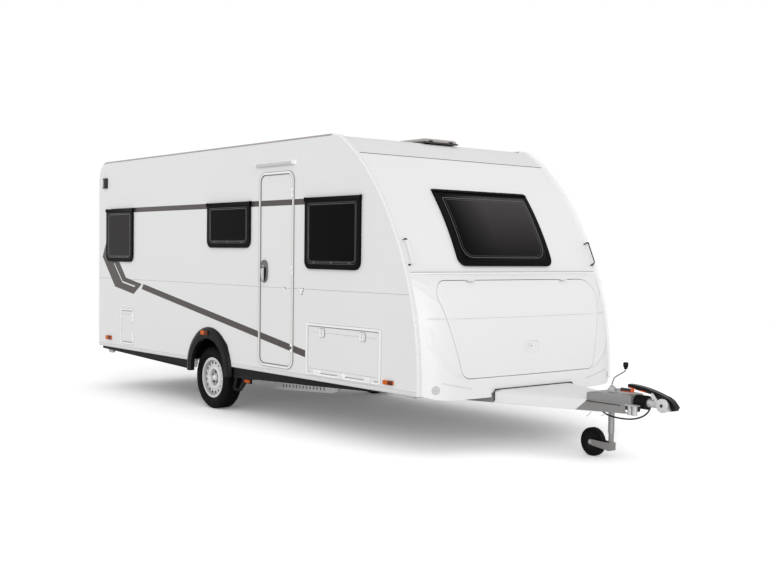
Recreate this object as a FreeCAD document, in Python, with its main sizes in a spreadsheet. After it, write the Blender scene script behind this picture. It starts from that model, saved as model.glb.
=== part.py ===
import FreeCAD, Part
import math
import os

import Sketcher
from FreeCAD import Placement, Rotation, Vector

# Travel caravan on one axle, parked on its jockey wheel.
# While it is modelled, x = 0 is the wheel line, y = 0 the centre plane and z = 0 the ground, in mm,
# with +X towards the coupling and +Y the left-hand side. The entrance door is on the right, at -Y.
# At the end every sub-part is moved along X, so that the origin is at the middle of the whole length.

doc = FreeCAD.newDocument("TravelCaravan")
sheet = doc.addObject("Spreadsheet::Sheet", "dims")

# Every size that can be set by itself: alias, value, what it is.
SIZES = [
    ("body_width", 2320, "over the outer faces of the side walls"),
    ("wall_thick", 32, "sandwich wall"),
    ("roof_thick", 34, "sandwich roof"),
    ("floor_thick", 42, "sandwich floor"),
    ("floor_low", 462, "underside of the floor and side walls above the ground"),
    ("roof_high", 2572, "top of the roof"),
    ("rear_length", 2480, "wheel line to rear wall"),
    ("rear_corner", 196, "radius of the roof's rear corner"),
    ("nose_start", 2060, "wheel line to where the roof starts to turn down"),
    ("nose_corner", 226, "first radius of the nose"),
    ("nose_corner_turn", 33, "degrees turned by the first radius"),
    ("nose_brow", 1870, "second radius of the nose"),
    ("nose_brow_turn", 20, "degrees turned by the second radius"),
    ("nose_face", 2600, "third radius of the nose, down to upright"),
    ("roof_seam_turn", 39, "slope in degrees where roof and front wall meet"),
    ("belt_turn", 70, "slope in degrees at the moulding under the front window"),
    ("rail_wide", 40, "edge rail across the corner"),
    ("rail_thick", 14, "edge rail proud of the body"),
    ("sill_high", 40, "aluminium strip along the side wall's foot"),
    ("sill_proud", 5, "the strip's thickness"),
    ("skirt_thick", 8, "black skirt under the sill"),
    ("skirt_inset", 14, "skirt behind the side wall's outer face"),
    ("tyre_radius", 310, "outer radius of the road tyre"),
    ("tyre_width", 194, "width of the road tyre"),
    ("tyre_inset", 40, "tyre's outer sidewall behind the side wall's face"),
    ("rim_radius", 178, "bead seat radius"),
    ("rim_flange", 201, "flange radius"),
    ("rim_width", 152, "between the outer faces of the flanges"),
    ("rim_steel", 5, "rim gauge"),
    ("disc_inset", 52, "wheel disc behind the outer flange"),
    ("hand_holes", 16, "oval holes round the wheel disc"),
    ("drum_radius", 128, "brake drum"),
    ("drum_depth", 62, "brake drum"),
    ("stub_radius", 20, "stub axle"),
    ("running_gap", 0.05, "radial clearance of a turning bore"),
    ("seat_gap", 0.3, "clearance of parts that are pressed together"),
    ("arch_centre", 38, "middle of the wheel arch ahead of the wheel line"),
    ("arch_level", 395, "height of the wheel arch's centre"),
    ("arch_radius", 425, "outer radius of the arch trim"),
    ("arch_band", 110, "width of the arch trim"),
    ("arch_proud", 30, "arch trim proud of the wall"),
    ("arch_foot", 362, "foot of the arch trim above the ground"),
    ("box_depth", 262, "wheel box from the wall's inner face inwards"),
    ("door_rear", 937, "wheel line to the door frame's rear edge"),
    ("door_wide", 561, "over the door frame"),
    ("door_low", 524, "foot of the door frame above the ground"),
    ("door_drop", 270, "top of the roof to the head of the door frame"),
    ("door_corner", 90, "radius of the door frame's corners"),
    ("frame_wide", 20, "door and hatch frame"),
    ("frame_proud", 8, "door and hatch frame proud of the wall"),
    ("leaf_gap", 5, "gap round a door, hatch or lid"),
    ("barrel_radius", 6, "hinge barrel"),
    ("pin_radius", 3, "hinge pin"),
    ("knuckle", 24, "length of one hinge knuckle"),
    ("service_rear", 1701, "wheel line to the service hatch's frame"),
    ("service_wide", 1037, "over the service hatch's frame"),
    ("service_low", 509, "foot of the service hatch's frame"),
    ("service_tall", 449, "height of the service hatch's frame"),
    ("toilet_inset", 560, "rear wall to the toilet hatch's frame"),
    ("toilet_wide", 325, "over the toilet hatch's frame"),
    ("toilet_low", 524, "foot of the toilet hatch's frame"),
    ("toilet_tall", 398, "height of the toilet hatch's frame"),
    ("hatch_corner", 32, "radius of a hatch frame's corners"),
    ("window_proud", 20, "window frame proud of the wall"),
    ("window_band", 46, "width of the window frame"),
    ("pane_thick", 12, "double acrylic pane"),
    ("saloon_rear", 1683, "wheel line to the front side window's frame"),
    ("saloon_wide", 783, "width of the front side window's frame"),
    ("saloon_drop", 1141, "top of the roof to the foot of the front side window's frame"),
    ("saloon_tall", 617, "height of the front side window's frame"),
    ("galley_rear", 8, "wheel line to the middle side window's frame"),
    ("galley_wide", 782, "width of the middle side window's frame"),
    ("galley_drop", 962, "top of the roof to the foot of the middle side window's frame"),
    ("galley_tall", 433, "height of the middle side window's frame"),
    ("berth_inset", 217, "rear wall to the rear side window's frame"),
    ("berth_wide", 653, "width of the rear side window's frame"),
    ("berth_drop", 1127, "top of the roof to the foot of the rear side window's frame"),
    ("berth_tall", 591, "height of the rear side window's frame"),
    ("window_corner", 75, "radius of the window frames' lower corners"),
    ("window_shoulder", 24, "radius of the window frames' upper corners"),
    ("front_window_half", 563, "half width of the front window's frame"),
    ("front_window_drop", 1094, "top of the roof to the foot of the front window's frame"),
    ("front_window_tall", 646, "height of the front window's frame"),
    ("rear_window_half", 480, "half width of the rear window's frame"),
    ("rear_window_drop", 1102, "top of the roof to the foot of the rear window's frame"),
    ("rear_window_tall", 540, "height of the rear window's frame"),
    ("rooflight_lip", 35, "frame of a rooflight round its opening"),
    ("rooflight_proud", 44, "rooflight proud of the roof"),
    ("front_light_rear", 1800, "wheel line to the front rooflight's opening"),
    ("front_light_long", 320, "length of the front rooflight's opening"),
    ("front_light_wide", 340, "width of the front rooflight's opening"),
    ("middle_light_rear", -420, "wheel line to the middle rooflight's opening"),
    ("middle_light_long", 560, "length of the middle rooflight's opening"),
    ("middle_light_wide", 520, "width of the middle rooflight's opening"),
    ("rear_light_inset", 650, "rear wall to the rear rooflight's opening"),
    ("rear_light_long", 340, "length and width of the rear rooflight's opening"),
    ("vent_rear", 980, "wheel line to the fridge vents"),
    ("vent_wide", 460, "width of a fridge vent"),
    ("vent_tall", 180, "height of a fridge vent"),
    ("inlet_rear", -1010, "wheel line to the mains inlet"),
    ("filler_place", -1300, "wheel line to the water filler's centre"),
    ("locker_wall", 2760, "wheel line to the partition behind the gas locker"),
    ("locker_board", 15, "partition and shelf of the gas locker"),
    ("bow", 140, "front moulding ahead of the side profile"),
    ("bow_thick", 26, "front moulding"),
    ("bow_low", 428, "foot of the front moulding above the ground"),
    ("bow_lift", 34, "rise of the moulding's foot to its outer corners"),
    ("lid_side_top", 208, "body's side to the gas locker's lid at its shoulder"),
    ("lid_side_low", 360, "body's side to the lid above its lower corners"),
    ("lid_under_belt", 56, "top edge of the moulding to the lid"),
    ("crease_under_belt", 351, "top edge of the moulding to the crease across it"),
    ("crease_step", 9, "depth of the crease"),
    ("lid_foot", 590, "bottom of the lid above the ground"),
    ("lid_shoulder", 135, "radius of the lid's upper corners"),
    ("lid_corner", 92, "radius of the lid's lower corners"),
    ("tail_proud", 40, "lower rear panel behind the rear wall"),
    ("lamp_proud", 14, "rear lamps outside the rear panel"),
    ("tail_high", 960, "top of the lower rear panel"),
    ("rail_inset", 460, "body's side to the chassis rails' outer faces"),
    ("rail_web", 5, "gauge of the chassis rails"),
    ("rail_flange", 42, "width of the chassis rails' flanges"),
    ("rail_deep", 182, "chassis rail at the axle"),
    ("rail_shallow", 84, "chassis rail at its ends"),
    ("hole_pitch", 45, "spacing of the square holes in the chassis rails"),
    ("hole_wide", 26, "square hole along the rail"),
    ("hole_tall", 38, "square hole up the rail"),
    ("hole_above", 26, "web under the square holes"),
    ("draw_tip", 4352, "wheel line to the tip of the A-frame"),
    ("draw_tip_half", 92, "half width of the A-frame at its tip"),
    ("draw_bend", 2557, "wheel line to where the A-frame bends inwards"),
    ("draw_rear", 1800, "wheel line to the A-frame's rear end beside the rails"),
    ("draw_low", 384, "underside of the A-frame"),
    ("draw_high", 457, "top of the A-frame"),
    ("draw_wide", 50, "flange of the A-frame's section"),
    ("housing_rear", 4064, "wheel line to the overrun housing"),
    ("housing_high", 531, "top of the overrun housing"),
    ("tube_level", 476, "height of the drawtube and of the tow ball's centre"),
    ("drawtube_radius", 25, "drawtube"),
    ("bellows_radius", 45, "bellows over its folds"),
    ("bellows_folds", 6, "folds of the bellows"),
    ("bellows_start", 4392, "wheel line to the bellows"),
    ("bellows_length", 108, "length of the bellows"),
    ("ball_place", 4660, "wheel line to the tow ball's centre"),
    ("socket_radius", 25.2, "socket for the 50 mm tow ball"),
    ("head_half", 38, "half width of the coupling head"),
    ("lever_reach", 98, "tow ball's centre to the front of the stabiliser lever"),
    ("jockey_place", 4150, "wheel line to the jockey wheel's tube"),
    ("jockey_tube", 24, "outer radius of the jockey wheel's outer tube"),
    ("jockey_inner", 20.5, "outer radius of its inner tube"),
    ("jockey_top", 556, "top of the outer tube"),
    ("jockey_low", 203, "foot of the outer tube"),
    ("jockey_wheel", 112.5, "radius of the jockey wheel"),
    ("jockey_wheel_wide", 58, "width of the jockey wheel"),
    ("jockey_trail", 176, "wheel's axle behind the tube"),
    ("jockey_pin", 8, "radius of the jockey wheel's axle"),
    ("fork_plate", 5, "gauge of the fork"),
    ("steady_inset", 300, "body's side to the middle of the corner steadies"),
    ("steady_front", 2420, "wheel line to the front steadies' pivots"),
    ("steady_rear_inset", 680, "rear wall to the rear steadies' pivots"),
    ("steady_leg", 430, "steady pivot to foot"),
    ("steady_wide", 36, "width of a steady's leg"),
    ("steady_pin", 8, "radius of a steady's pin"),
    ("steady_pivot", 412, "height of the steadies' pivots"),
    ("axle_ahead", 168, "axle tube ahead of the wheel line"),
    ("axle_level", 322, "height of the axle tube"),
    ("axle_tube", 50, "outer radius of the axle tube"),
]
for row, (alias, value, note) in enumerate(SIZES, start=1):
    sheet.set("A%d" % row, alias)
    sheet.set("B%d" % row, str(value))
    sheet.setAlias("B%d" % row, alias)
    sheet.set("C%d" % row, note)
doc.recompute()


class Size:
    """A number together with the sheet expression that gives it."""

    def __init__(self, value, text):
        self.value = value
        self.text = text

    def __add__(self, other):
        other = size_of(other)
        return Size(self.value + other.value, "(%s + %s)" % (self.text, other.text))

    def __sub__(self, other):
        other = size_of(other)
        return Size(self.value - other.value, "(%s - %s)" % (self.text, other.text))

    def __mul__(self, other):
        other = size_of(other)
        return Size(self.value * other.value, "(%s * %s)" % (self.text, other.text))

    def __truediv__(self, other):
        other = size_of(other)
        return Size(self.value / other.value, "(%s / %s)" % (self.text, other.text))

    def __radd__(self, other):
        return size_of(other) + self

    def __rsub__(self, other):
        return size_of(other) - self

    def __rmul__(self, other):
        return size_of(other) * self

    def __neg__(self):
        return Size(-self.value, "(0 - %s)" % self.text)


def size_of(number):
    if isinstance(number, Size):
        return number
    return Size(float(number), "(%s)" % repr(float(number)))


def sine(degrees):
    return Size(math.sin(math.radians(degrees.value)), "sin(%s)" % degrees.text)


def cosine(degrees):
    return Size(math.cos(math.radians(degrees.value)), "cos(%s)" % degrees.text)


class Dims:
    """Gives each cell of the sheet as a Size: dims.body_width and so on."""

    def __getattr__(self, alias):
        return Size(float(sheet.get(alias)), "dims." + alias)


dims = Dims()


def bind(thing, prop, amount):
    """Set a property and tie it to the sheet."""
    amount = size_of(amount)
    thing.setExpression(prop, amount.text)


def arc_centre(p, q, radius, turn):
    """Centre of the arc from p to q that turns left or right."""
    chord = q - p
    half = chord.Length / 2
    across = Vector(-chord.y, chord.x, 0) / chord.Length
    if turn == "right":
        across = -across
    return (p + q) / 2 + across * math.sqrt(max(radius * radius - half * half, 0.0))


def draw(sketch, path):
    """Draw a closed outline. A corner is (u, v), or (u, v, radius, turn) when an arc leads to it."""
    corners = [Vector(size_of(c[0]).value, size_of(c[1]).value, 0) for c in path]
    count = len(path)
    starts = []
    ends = []
    for i in range(count):
        j = (i + 1) % count
        p = corners[i]
        q = corners[j]
        if len(path[j]) == 2:
            index = sketch.addGeometry(Part.LineSegment(p, q), False)
            starts.append((index, 1))
            ends.append((index, 2))
            continue
        radius = size_of(path[j][2])
        turn = path[j][3]
        centre = arc_centre(p, q, radius.value, turn)
        first = math.atan2(p.y - centre.y, p.x - centre.x)
        last = math.atan2(q.y - centre.y, q.x - centre.x)
        if turn == "right":
            first, last = last, first
        circle = Part.Circle(centre, Vector(0, 0, 1), radius.value)
        index = sketch.addGeometry(Part.ArcOfCircle(circle, first, last), False)
        starts.append((index, 2 if turn == "right" else 1))
        ends.append((index, 1 if turn == "right" else 2))
        rule = sketch.addConstraint(Sketcher.Constraint("Radius", index, radius.value))
        sketch.setExpression("Constraints[%d]" % rule, radius.text)
    for i in range(count):
        before = ends[i - 1]
        here = starts[i]
        sketch.addConstraint(Sketcher.Constraint("Coincident", before[0], before[1], here[0], here[1]))
        for kind, amount in (("DistanceX", path[i][0]), ("DistanceY", path[i][1])):
            amount = size_of(amount)
            rule = sketch.addConstraint(
                Sketcher.Constraint(kind, -1, 1, here[0], here[1], amount.value))
            sketch.setExpression("Constraints[%d]" % rule, amount.text)


def rounded(u0, v0, u1, v1, radius, top_radius=None):
    """Closed path of a rectangle with rounded corners, the upper two with a radius of their own."""
    low = size_of(radius)
    top = low if top_radius is None else size_of(top_radius)
    return [
        (u0 + low, v0, low, "left"), (u1 - low, v0), (u1, v0 + low, low, "left"),
        (u1, v1 - top), (u1 - top, v1, top, "left"),
        (u0 + top, v1), (u0, v1 - top, top, "left"), (u0, v0 + low),
    ]


def square(u0, v0, u1, v1):
    return [(u0, v0), (u1, v0), (u1, v1), (u0, v1)]


def grown(u0, v0, u1, v1, by):
    """The corners of a rectangle made larger by a margin all round."""
    return u0 - by, v0 - by, u1 + by, v1 + by


SIDE = "XZ_Plane"
PLAN = "XY_Plane"
FRONT = "YZ_Plane"


def new_body(label):
    body = doc.addObject("PartDesign::Body", label)
    body.Label = label
    body.AllowCompound = True
    return body


def sketch_on(body, plane, offset, paths, raised=0):
    """Sketch on one of the body's origin planes, moved along the plane's normal and up."""
    sketch = body.newObject("Sketcher::SketchObject", body.Name + "_sketch")
    support = [f for f in body.Origin.OriginFeatures if f.Role == plane][0]
    sketch.AttachmentSupport = (support, [""])
    sketch.MapMode = "FlatFace"
    bind(sketch, "AttachmentOffset.Base.z", offset)
    bind(sketch, "AttachmentOffset.Base.y", raised)
    for path in paths:
        draw(sketch, path)
    return sketch


def pad(body, plane, offset, length, *paths):
    """Raise the outlines from the offset along the plane's normal: -Y, +Z or +X."""
    feature = body.newObject("PartDesign::Pad", body.Name + "_pad")
    feature.Profile = sketch_on(body, plane, offset, paths)
    bind(feature, "Length", length)
    body.Tip = feature
    return feature


def pocket(body, plane, offset, depth, *paths):
    """Cut the outlines through, as far to each side of the offset as the depth."""
    feature = body.newObject("PartDesign::Pocket", body.Name + "_pocket")
    feature.Profile = sketch_on(body, plane, offset, paths)
    feature.Midplane = True
    bind(feature, "Length", size_of(depth) * 2)
    body.Tip = feature
    return feature


def turned(body, plane, offset, raised, *paths, groove=False, degrees=360):
    """Turn the outlines about the sketch's horizontal axis."""
    kind = "PartDesign::Groove" if groove else "PartDesign::Revolution"
    feature = body.newObject(kind, body.Name + "_turned")
    sketch = sketch_on(body, plane, offset, paths, raised)
    feature.Profile = sketch
    feature.ReferenceAxis = (sketch, ["H_Axis"])
    feature.Angle = degrees
    body.Tip = feature
    return feature


def box(x, y, z, dx, dy, dz, name="block"):
    """Block from its low corner."""
    thing = doc.addObject("Part::Box", name)
    for prop, amount in (("Length", dx), ("Width", dy), ("Height", dz)):
        bind(thing, prop, amount)
    for prop, amount in (("x", x), ("y", y), ("z", z)):
        bind(thing, "Placement.Base." + prop, amount)
    return thing


TURNS = {
    "x": Rotation(Vector(0, 1, 0), 90),
    "y": Rotation(Vector(1, 0, 0), -90),
    "z": Rotation(),
}


def rod(x, y, z, radius, length, along="z", name="rod"):
    """Cylinder from its low end along an axis."""
    thing = doc.addObject("Part::Cylinder", name)
    thing.Placement = Placement(Vector(), TURNS[along])
    bind(thing, "Radius", radius)
    bind(thing, "Height", length)
    for prop, amount in (("x", x), ("y", y), ("z", z)):
        bind(thing, "Placement.Base." + prop, amount)
    return thing


def prism(plane, offset, length, *paths, name="prism"):
    """Extrusion of a free sketch along the plane's normal."""
    sketch = doc.addObject("Sketcher::SketchObject", name + "_sketch")
    turn = {
        SIDE: Rotation(Vector(1, 0, 0), 90),
        PLAN: Rotation(),
        FRONT: Rotation(Vector(1, 1, 1), 120),
    }[plane]
    sketch.Placement = Placement(Vector(), turn)
    if plane == SIDE:
        bind(sketch, "Placement.Base.y", -size_of(offset))
    elif plane == PLAN:
        bind(sketch, "Placement.Base.z", offset)
    else:
        bind(sketch, "Placement.Base.x", offset)
    for path in paths:
        draw(sketch, path)
    thing = doc.addObject("Part::Extrusion", name)
    thing.Base = sketch
    thing.DirMode = "Normal"
    thing.Solid = True
    bind(thing, "LengthFwd", length)
    return thing


def fuse(label, *things):
    joined = doc.addObject("Part::MultiFuse", label)
    joined.Label = label
    joined.Shapes = list(things)
    return joined


def group(label, *things):
    """Solids of one node that don't touch each other."""
    held = doc.addObject("Part::Compound", label)
    held.Label = label
    held.Links = list(things)
    return held


def cut(label, base, *tools):
    taken = doc.addObject("Part::Cut", label)
    taken.Label = label
    taken.Base = base
    taken.Tool = tools[0] if len(tools) == 1 else fuse(label + "_tools", *tools)
    return taken


def mirrored(thing, name="mirrored"):
    """The same piece on the other side of the centre plane."""
    other = doc.addObject("Part::Mirroring", name)
    other.Source = thing
    other.Normal = Vector(0, 1, 0)
    other.Base = Vector(0, 0, 0)
    return other


def pair(label, thing):
    return group(label, thing, mirrored(thing, label + "_left"))


def shaped(label, shape):
    """A piece whose form neither sketches nor primitives give."""
    thing = doc.addObject("Part::Feature", label)
    thing.Label = label
    thing.Shape = shape
    return thing


NODES = []


def node(thing):
    NODES.append(thing)
    return thing


# Places worked out from the sizes, used by several pieces.

half = dims.body_width / 2
inner_half = half - dims.wall_thick
rear_face = -dims.rear_length
wall_mid = half - dims.wall_thick / 2
axle_high = dims.tyre_radius
tyre_face = half - dims.tyre_inset
rail_line = half - dims.rail_inset
steady_line = half - dims.steady_inset
nose_reach = dims.ball_place + dims.lever_reach

first_turn = dims.nose_corner_turn
second_turn = dims.nose_corner_turn + dims.nose_brow_turn
corner_u = dims.nose_start
corner_v = dims.roof_high - dims.nose_corner
brow_u = corner_u + (dims.nose_corner - dims.nose_brow) * sine(first_turn)
brow_v = corner_v + (dims.nose_corner - dims.nose_brow) * cosine(first_turn)
face_u = brow_u + (dims.nose_brow - dims.nose_face) * sine(second_turn)
face_v = brow_v + (dims.nose_brow - dims.nose_face) * cosine(second_turn)


def on_corner(turn, inward=0):
    radius = dims.nose_corner - inward
    return corner_u + radius * sine(turn), corner_v + radius * cosine(turn)


def on_brow(turn, inward=0):
    radius = dims.nose_brow - inward
    return brow_u + radius * sine(turn), brow_v + radius * cosine(turn)


def on_face(turn, inward=0):
    radius = dims.nose_face - inward
    return face_u + radius * sine(turn), face_v + radius * cosine(turn)


upright = Size(90.0, "90")
belt_high = on_face(dims.belt_turn)[1]
nose_foot = on_face(upright)[0]
under_ground = -dims.roof_high


def over_the_top(inward=0):
    """The body's side outline from the rear foot over the roof to the front foot, as corners.

    Both feet reach far below the floor, where what is made from it is trimmed.
    """
    inward = size_of(inward)
    radius = dims.rear_corner - inward
    back = rear_face + inward
    top = dims.roof_high - inward
    end_u, end_v = on_face(upright, inward)
    return [
        (back, under_ground),
        (back, dims.roof_high - dims.rear_corner),
        (rear_face + dims.rear_corner, top, radius, "right"),
        (dims.nose_start, top),
        on_corner(first_turn, inward) + (dims.nose_corner - inward, "right"),
        on_brow(second_turn, inward) + (dims.nose_brow - inward, "right"),
        (end_u, end_v, dims.nose_face - inward, "right"),
        (end_u, under_ground),
    ]


def backwards(path):
    """The same open outline walked from its other end."""
    flipped = {"left": "right", "right": "left"}
    out = []
    for i in range(len(path) - 1, -1, -1):
        corner = path[i][:2]
        if i + 1 < len(path) and len(path[i + 1]) == 4:
            corner = corner + (path[i + 1][2], flipped[path[i + 1][3]])
        out.append(corner)
    return out


# Windows, door and hatches as rear edge, foot, front edge and head of their frames.


def frame_edges(rear, wide, low, tall):
    return rear, low, rear + wide, low + tall


SIDE_WINDOWS = {
    "saloon": frame_edges(dims.saloon_rear, dims.saloon_wide,
                          dims.roof_high - dims.saloon_drop, dims.saloon_tall),
    "galley": frame_edges(dims.galley_rear, dims.galley_wide,
                          dims.roof_high - dims.galley_drop, dims.galley_tall),
    "berth": frame_edges(rear_face + dims.berth_inset, dims.berth_wide,
                         dims.roof_high - dims.berth_drop, dims.berth_tall),
}
DOOR = (dims.door_rear, dims.door_low,
        dims.door_rear + dims.door_wide, dims.roof_high - dims.door_drop)
SERVICE = frame_edges(dims.service_rear, dims.service_wide, dims.service_low, dims.service_tall)
TOILET = frame_edges(rear_face + dims.toilet_inset, dims.toilet_wide, dims.toilet_low, dims.toilet_tall)


def window_path(edges, smaller=0):
    """A window outline, or one that lies inside it by a margin."""
    margin = size_of(smaller)
    return rounded(*grown(*edges, -margin), dims.window_corner - margin * 0.7,
                   dims.window_shoulder - margin * 0.3)


def framed_path(edges, corner, smaller=0):
    margin = size_of(smaller)
    return rounded(*grown(*edges, -margin), corner - margin * 0.9)


pane_inset = dims.window_band
hole_inset = dims.window_band - 6
opening_inset = dims.frame_wide
leaf_inset = dims.frame_wide + dims.leaf_gap


def arch_path(radius):
    """Half disc over the wheel."""
    u = dims.arch_centre
    v = dims.arch_level
    return [(u - radius, v), (u, v + radius, radius, "right"), (u + radius, v, radius, "right")]


# Body panels.

wall_cut = dims.wall_thick
arch_hole = dims.arch_radius - 25


def trim_foot(body):
    """Cut away what reaches below the floor's underside."""
    deep = dims.roof_high * 2
    pocket(body, PLAN, dims.floor_low - deep, deep,
           square(rear_face - 200, -half - 200, nose_foot + 200, half + 200))


side_right = new_body("side_wall_right")
pad(side_right, SIDE, inner_half, dims.wall_thick, over_the_top())
trim_foot(side_right)
pocket(side_right, SIDE, wall_mid, wall_cut,
       *[window_path(edges, hole_inset) for edges in SIDE_WINDOWS.values()])
pocket(side_right, SIDE, wall_mid, wall_cut, framed_path(DOOR, dims.door_corner, opening_inset))
pocket(side_right, SIDE, wall_mid, wall_cut, framed_path(SERVICE, dims.hatch_corner, opening_inset),
       framed_path(TOILET, dims.hatch_corner, opening_inset))
pocket(side_right, SIDE, wall_mid, wall_cut, arch_path(arch_hole))
node(side_right)

side_left = new_body("side_wall_left")
pad(side_left, SIDE, -half, dims.wall_thick, over_the_top())
trim_foot(side_left)
pocket(side_left, SIDE, -wall_mid, wall_cut,
       *[window_path(edges, hole_inset) for edges in SIDE_WINDOWS.values()])
pocket(side_left, SIDE, -wall_mid, wall_cut, arch_path(arch_hole))
node(side_left)

rear_seam = dims.roof_high - dims.rear_corner


def roof_path(inward):
    inward = size_of(inward)
    radius = dims.rear_corner - inward
    return [
        (rear_face + inward, rear_seam),
        (rear_face + dims.rear_corner, dims.roof_high - inward, radius, "right"),
        (dims.nose_start, dims.roof_high - inward),
        on_corner(first_turn, inward) + (dims.nose_corner - inward, "right"),
        on_brow(dims.roof_seam_turn, inward) + (dims.nose_brow - inward, "right"),
    ]


def front_path(inward):
    inward = size_of(inward)
    return [
        on_brow(dims.roof_seam_turn, inward),
        on_brow(second_turn, inward) + (dims.nose_brow - inward, "right"),
        on_face(dims.belt_turn, inward) + (dims.nose_face - inward, "right"),
    ]


def light_edges(rear, long, wide):
    return rear, -wide / 2, rear + long, wide / 2


ROOFLIGHTS = [
    light_edges(dims.front_light_rear, dims.front_light_long, dims.front_light_wide),
    light_edges(dims.middle_light_rear, dims.middle_light_long, dims.middle_light_wide),
    light_edges(rear_face + dims.rear_light_inset, dims.rear_light_long, dims.rear_light_long),
]

roof = new_body("roof_panel")
pad(roof, SIDE, -inner_half, inner_half * 2, roof_path(0) + backwards(roof_path(dims.roof_thick)))
roof_mid = dims.roof_high - dims.roof_thick / 2
pocket(roof, PLAN, roof_mid, dims.roof_thick,
       *[square(*edges) for edges in ROOFLIGHTS])
node(roof)

front_wall = new_body("front_wall")
pad(front_wall, SIDE, -inner_half, inner_half * 2, front_path(0) + backwards(front_path(dims.wall_thick)))
front_window_low = dims.roof_high - dims.front_window_drop
front_window = (-dims.front_window_half, front_window_low,
                dims.front_window_half, front_window_low + dims.front_window_tall)
pocket(front_wall, FRONT, nose_foot - 380, 500, window_path(front_window, hole_inset))
pocket(front_wall, PLAN, belt_high + dims.seat_gap - 20, 20,
       square(nose_foot - 280, -inner_half - 1, nose_foot, inner_half + 1))
node(front_wall)

rear_wall = new_body("rear_wall")
rear_window_low = dims.roof_high - dims.rear_window_drop
rear_window = (-dims.rear_window_half, rear_window_low,
               dims.rear_window_half, rear_window_low + dims.rear_window_tall)
pad(rear_wall, FRONT, rear_face, dims.wall_thick,
    square(-inner_half, dims.floor_low, inner_half, rear_seam),
    window_path(rear_window, hole_inset))
node(rear_wall)

box_half = dims.arch_radius + 15
box_high = dims.arch_level + box_half
box_in = inner_half - dims.box_depth
floor_front = nose_foot - dims.wall_thick

floor = new_body("floor_panel")
pad(floor, PLAN, dims.floor_low, dims.floor_thick,
    square(rear_face + dims.wall_thick, -inner_half, floor_front, inner_half))
notch = (dims.arch_centre - box_half - dims.seat_gap, dims.arch_centre + box_half + dims.seat_gap)
floor_mid = dims.floor_low + dims.floor_thick / 2
box_edge = box_in - dims.seat_gap
pocket(floor, PLAN, floor_mid, dims.floor_thick,
       square(notch[0], box_edge, notch[1], inner_half + 10),
       square(notch[0], -inner_half - 10, notch[1], -box_edge))
node(floor)


def wheel_box():
    """Moulded box over the right-hand wheel, open below and to the outside."""
    wall = 6
    round_off = 220

    def outline(smaller):
        low = dims.arch_centre - box_half + smaller
        high = dims.arch_centre + box_half - smaller
        top = box_high - smaller
        bend = round_off - smaller
        return [(low, dims.floor_low), (high, dims.floor_low), (high, top - bend),
                (high - bend, top, bend, "left"), (low + bend, top), (low, top - bend, bend, "left")]

    outer = prism(SIDE, box_in, dims.box_depth, outline(0), name="wheel_box_outer")
    inner = prism(SIDE, box_in + wall, dims.box_depth, outline(wall), name="wheel_box_inner")
    below = box(dims.arch_centre - box_half + wall, -inner_half - 10, dims.floor_low - 10,
                box_half * 2 - wall * 2, dims.box_depth + 10 - wall, 20)
    return cut("wheel_box_shell", outer, inner, below)


node(pair("wheel_boxes", wheel_box()))


# Bow-fronted moulding of the gas locker, with its lid.

# Heights are shares of the moulding's own height; places across are measured in from its edge.
BOW_FORM = [(0.943, 0.52), (0.831, 0.86), (0.745, 0.97)]
BOW_FORM_LOW = [(0.427, 1.0), (0.174, 1.0)]
BOW_CROWN = 0.07
BOW_FOOT = 1.08
BOW_EDGE = 0.13
# The share of the foot's rise, station by station, and how much of the crease is left.
BOW_LIFT = [0, 0, 0, 0.15, 0.4, 0.75, 1.0]
BOW_STATIONS = [(0, 1.0), (-620, 0.96), (-320, 0.87), (-170, 0.76), (-80, 0.53), (-30, 0.30)]
CREASE_FADE = [1.0, 1.0, 0.75, 0.12, 0.06, 0.06, 0.06]
bow_edge = half - dims.rail_wide
crease_high = belt_high - dims.crease_under_belt


def face_at(level_mm):
    """Where the side profile's nose is at a height, in numbers."""
    depth = (level_mm - face_v.value) / dims.nose_face.value
    if depth <= 0:
        return face_u.value + dims.nose_face.value
    return face_u.value + dims.nose_face.value * math.sqrt(1 - depth * depth)


def bow_points(form, across, spread, inward):
    """Points of the moulding's upright section, from (height, share of the bow's depth)."""
    return [Vector(face_at(level_mm) + dims.bow.value * share * spread - inward, across, level_mm)
            for level_mm, share in form]


def smooth(points):
    curve = Part.BSplineCurve()
    curve.interpolate(points)
    return curve.toShape()


def bow_section(across, spread, fade, lift):
    """Closed section: skin above the crease, the step under it, skin below, foot and inner skin."""
    foot = dims.bow_low.value + dims.bow_lift.value * lift
    top = belt_high.value
    tall = top - foot
    crease = crease_high.value
    step = dims.crease_step.value * fade
    upper = [(top, BOW_CROWN)] + [(foot + tall * h, s) for h, s in BOW_FORM] + [(crease, 1.02)]
    lower = [(crease - step * 0.8, 1.02)] + [(foot + tall * h, s) for h, s in BOW_FORM_LOW]
    lower.append((foot, BOW_FOOT))
    skin = bow_points(upper, across, spread, 0)
    under = bow_points(lower, across, spread, 0)
    under[0].x = skin[-1].x - step
    under[1].x = under[1].x - step * 0.35
    inner = bow_points(upper[:-1] + lower[1:], across, spread, dims.bow_thick.value)
    return Part.Wire([
        smooth(skin), Part.LineSegment(skin[-1], under[0]).toShape(), smooth(under),
        Part.LineSegment(under[-1], inner[-1]).toShape(), smooth(inner),
        Part.LineSegment(inner[0], skin[0]).toShape()])


def bow_shell():
    """The moulding's skin lofted across the front, station by station."""
    edge = bow_edge.value
    stations = [(0, BOW_STATIONS[0][1])] + [(edge + inset, s) for inset, s in BOW_STATIONS[1:]]
    stations.append((edge, BOW_EDGE))
    half_way = [(a, s, fade, lift) for (a, s), fade, lift in zip(stations, CREASE_FADE, BOW_LIFT)]
    across_all = [(-a, s, fade, lift) for a, s, fade, lift in reversed(half_way)] + half_way[1:]
    return Part.makeLoft([bow_section(*station) for station in across_all], True, False)


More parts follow.
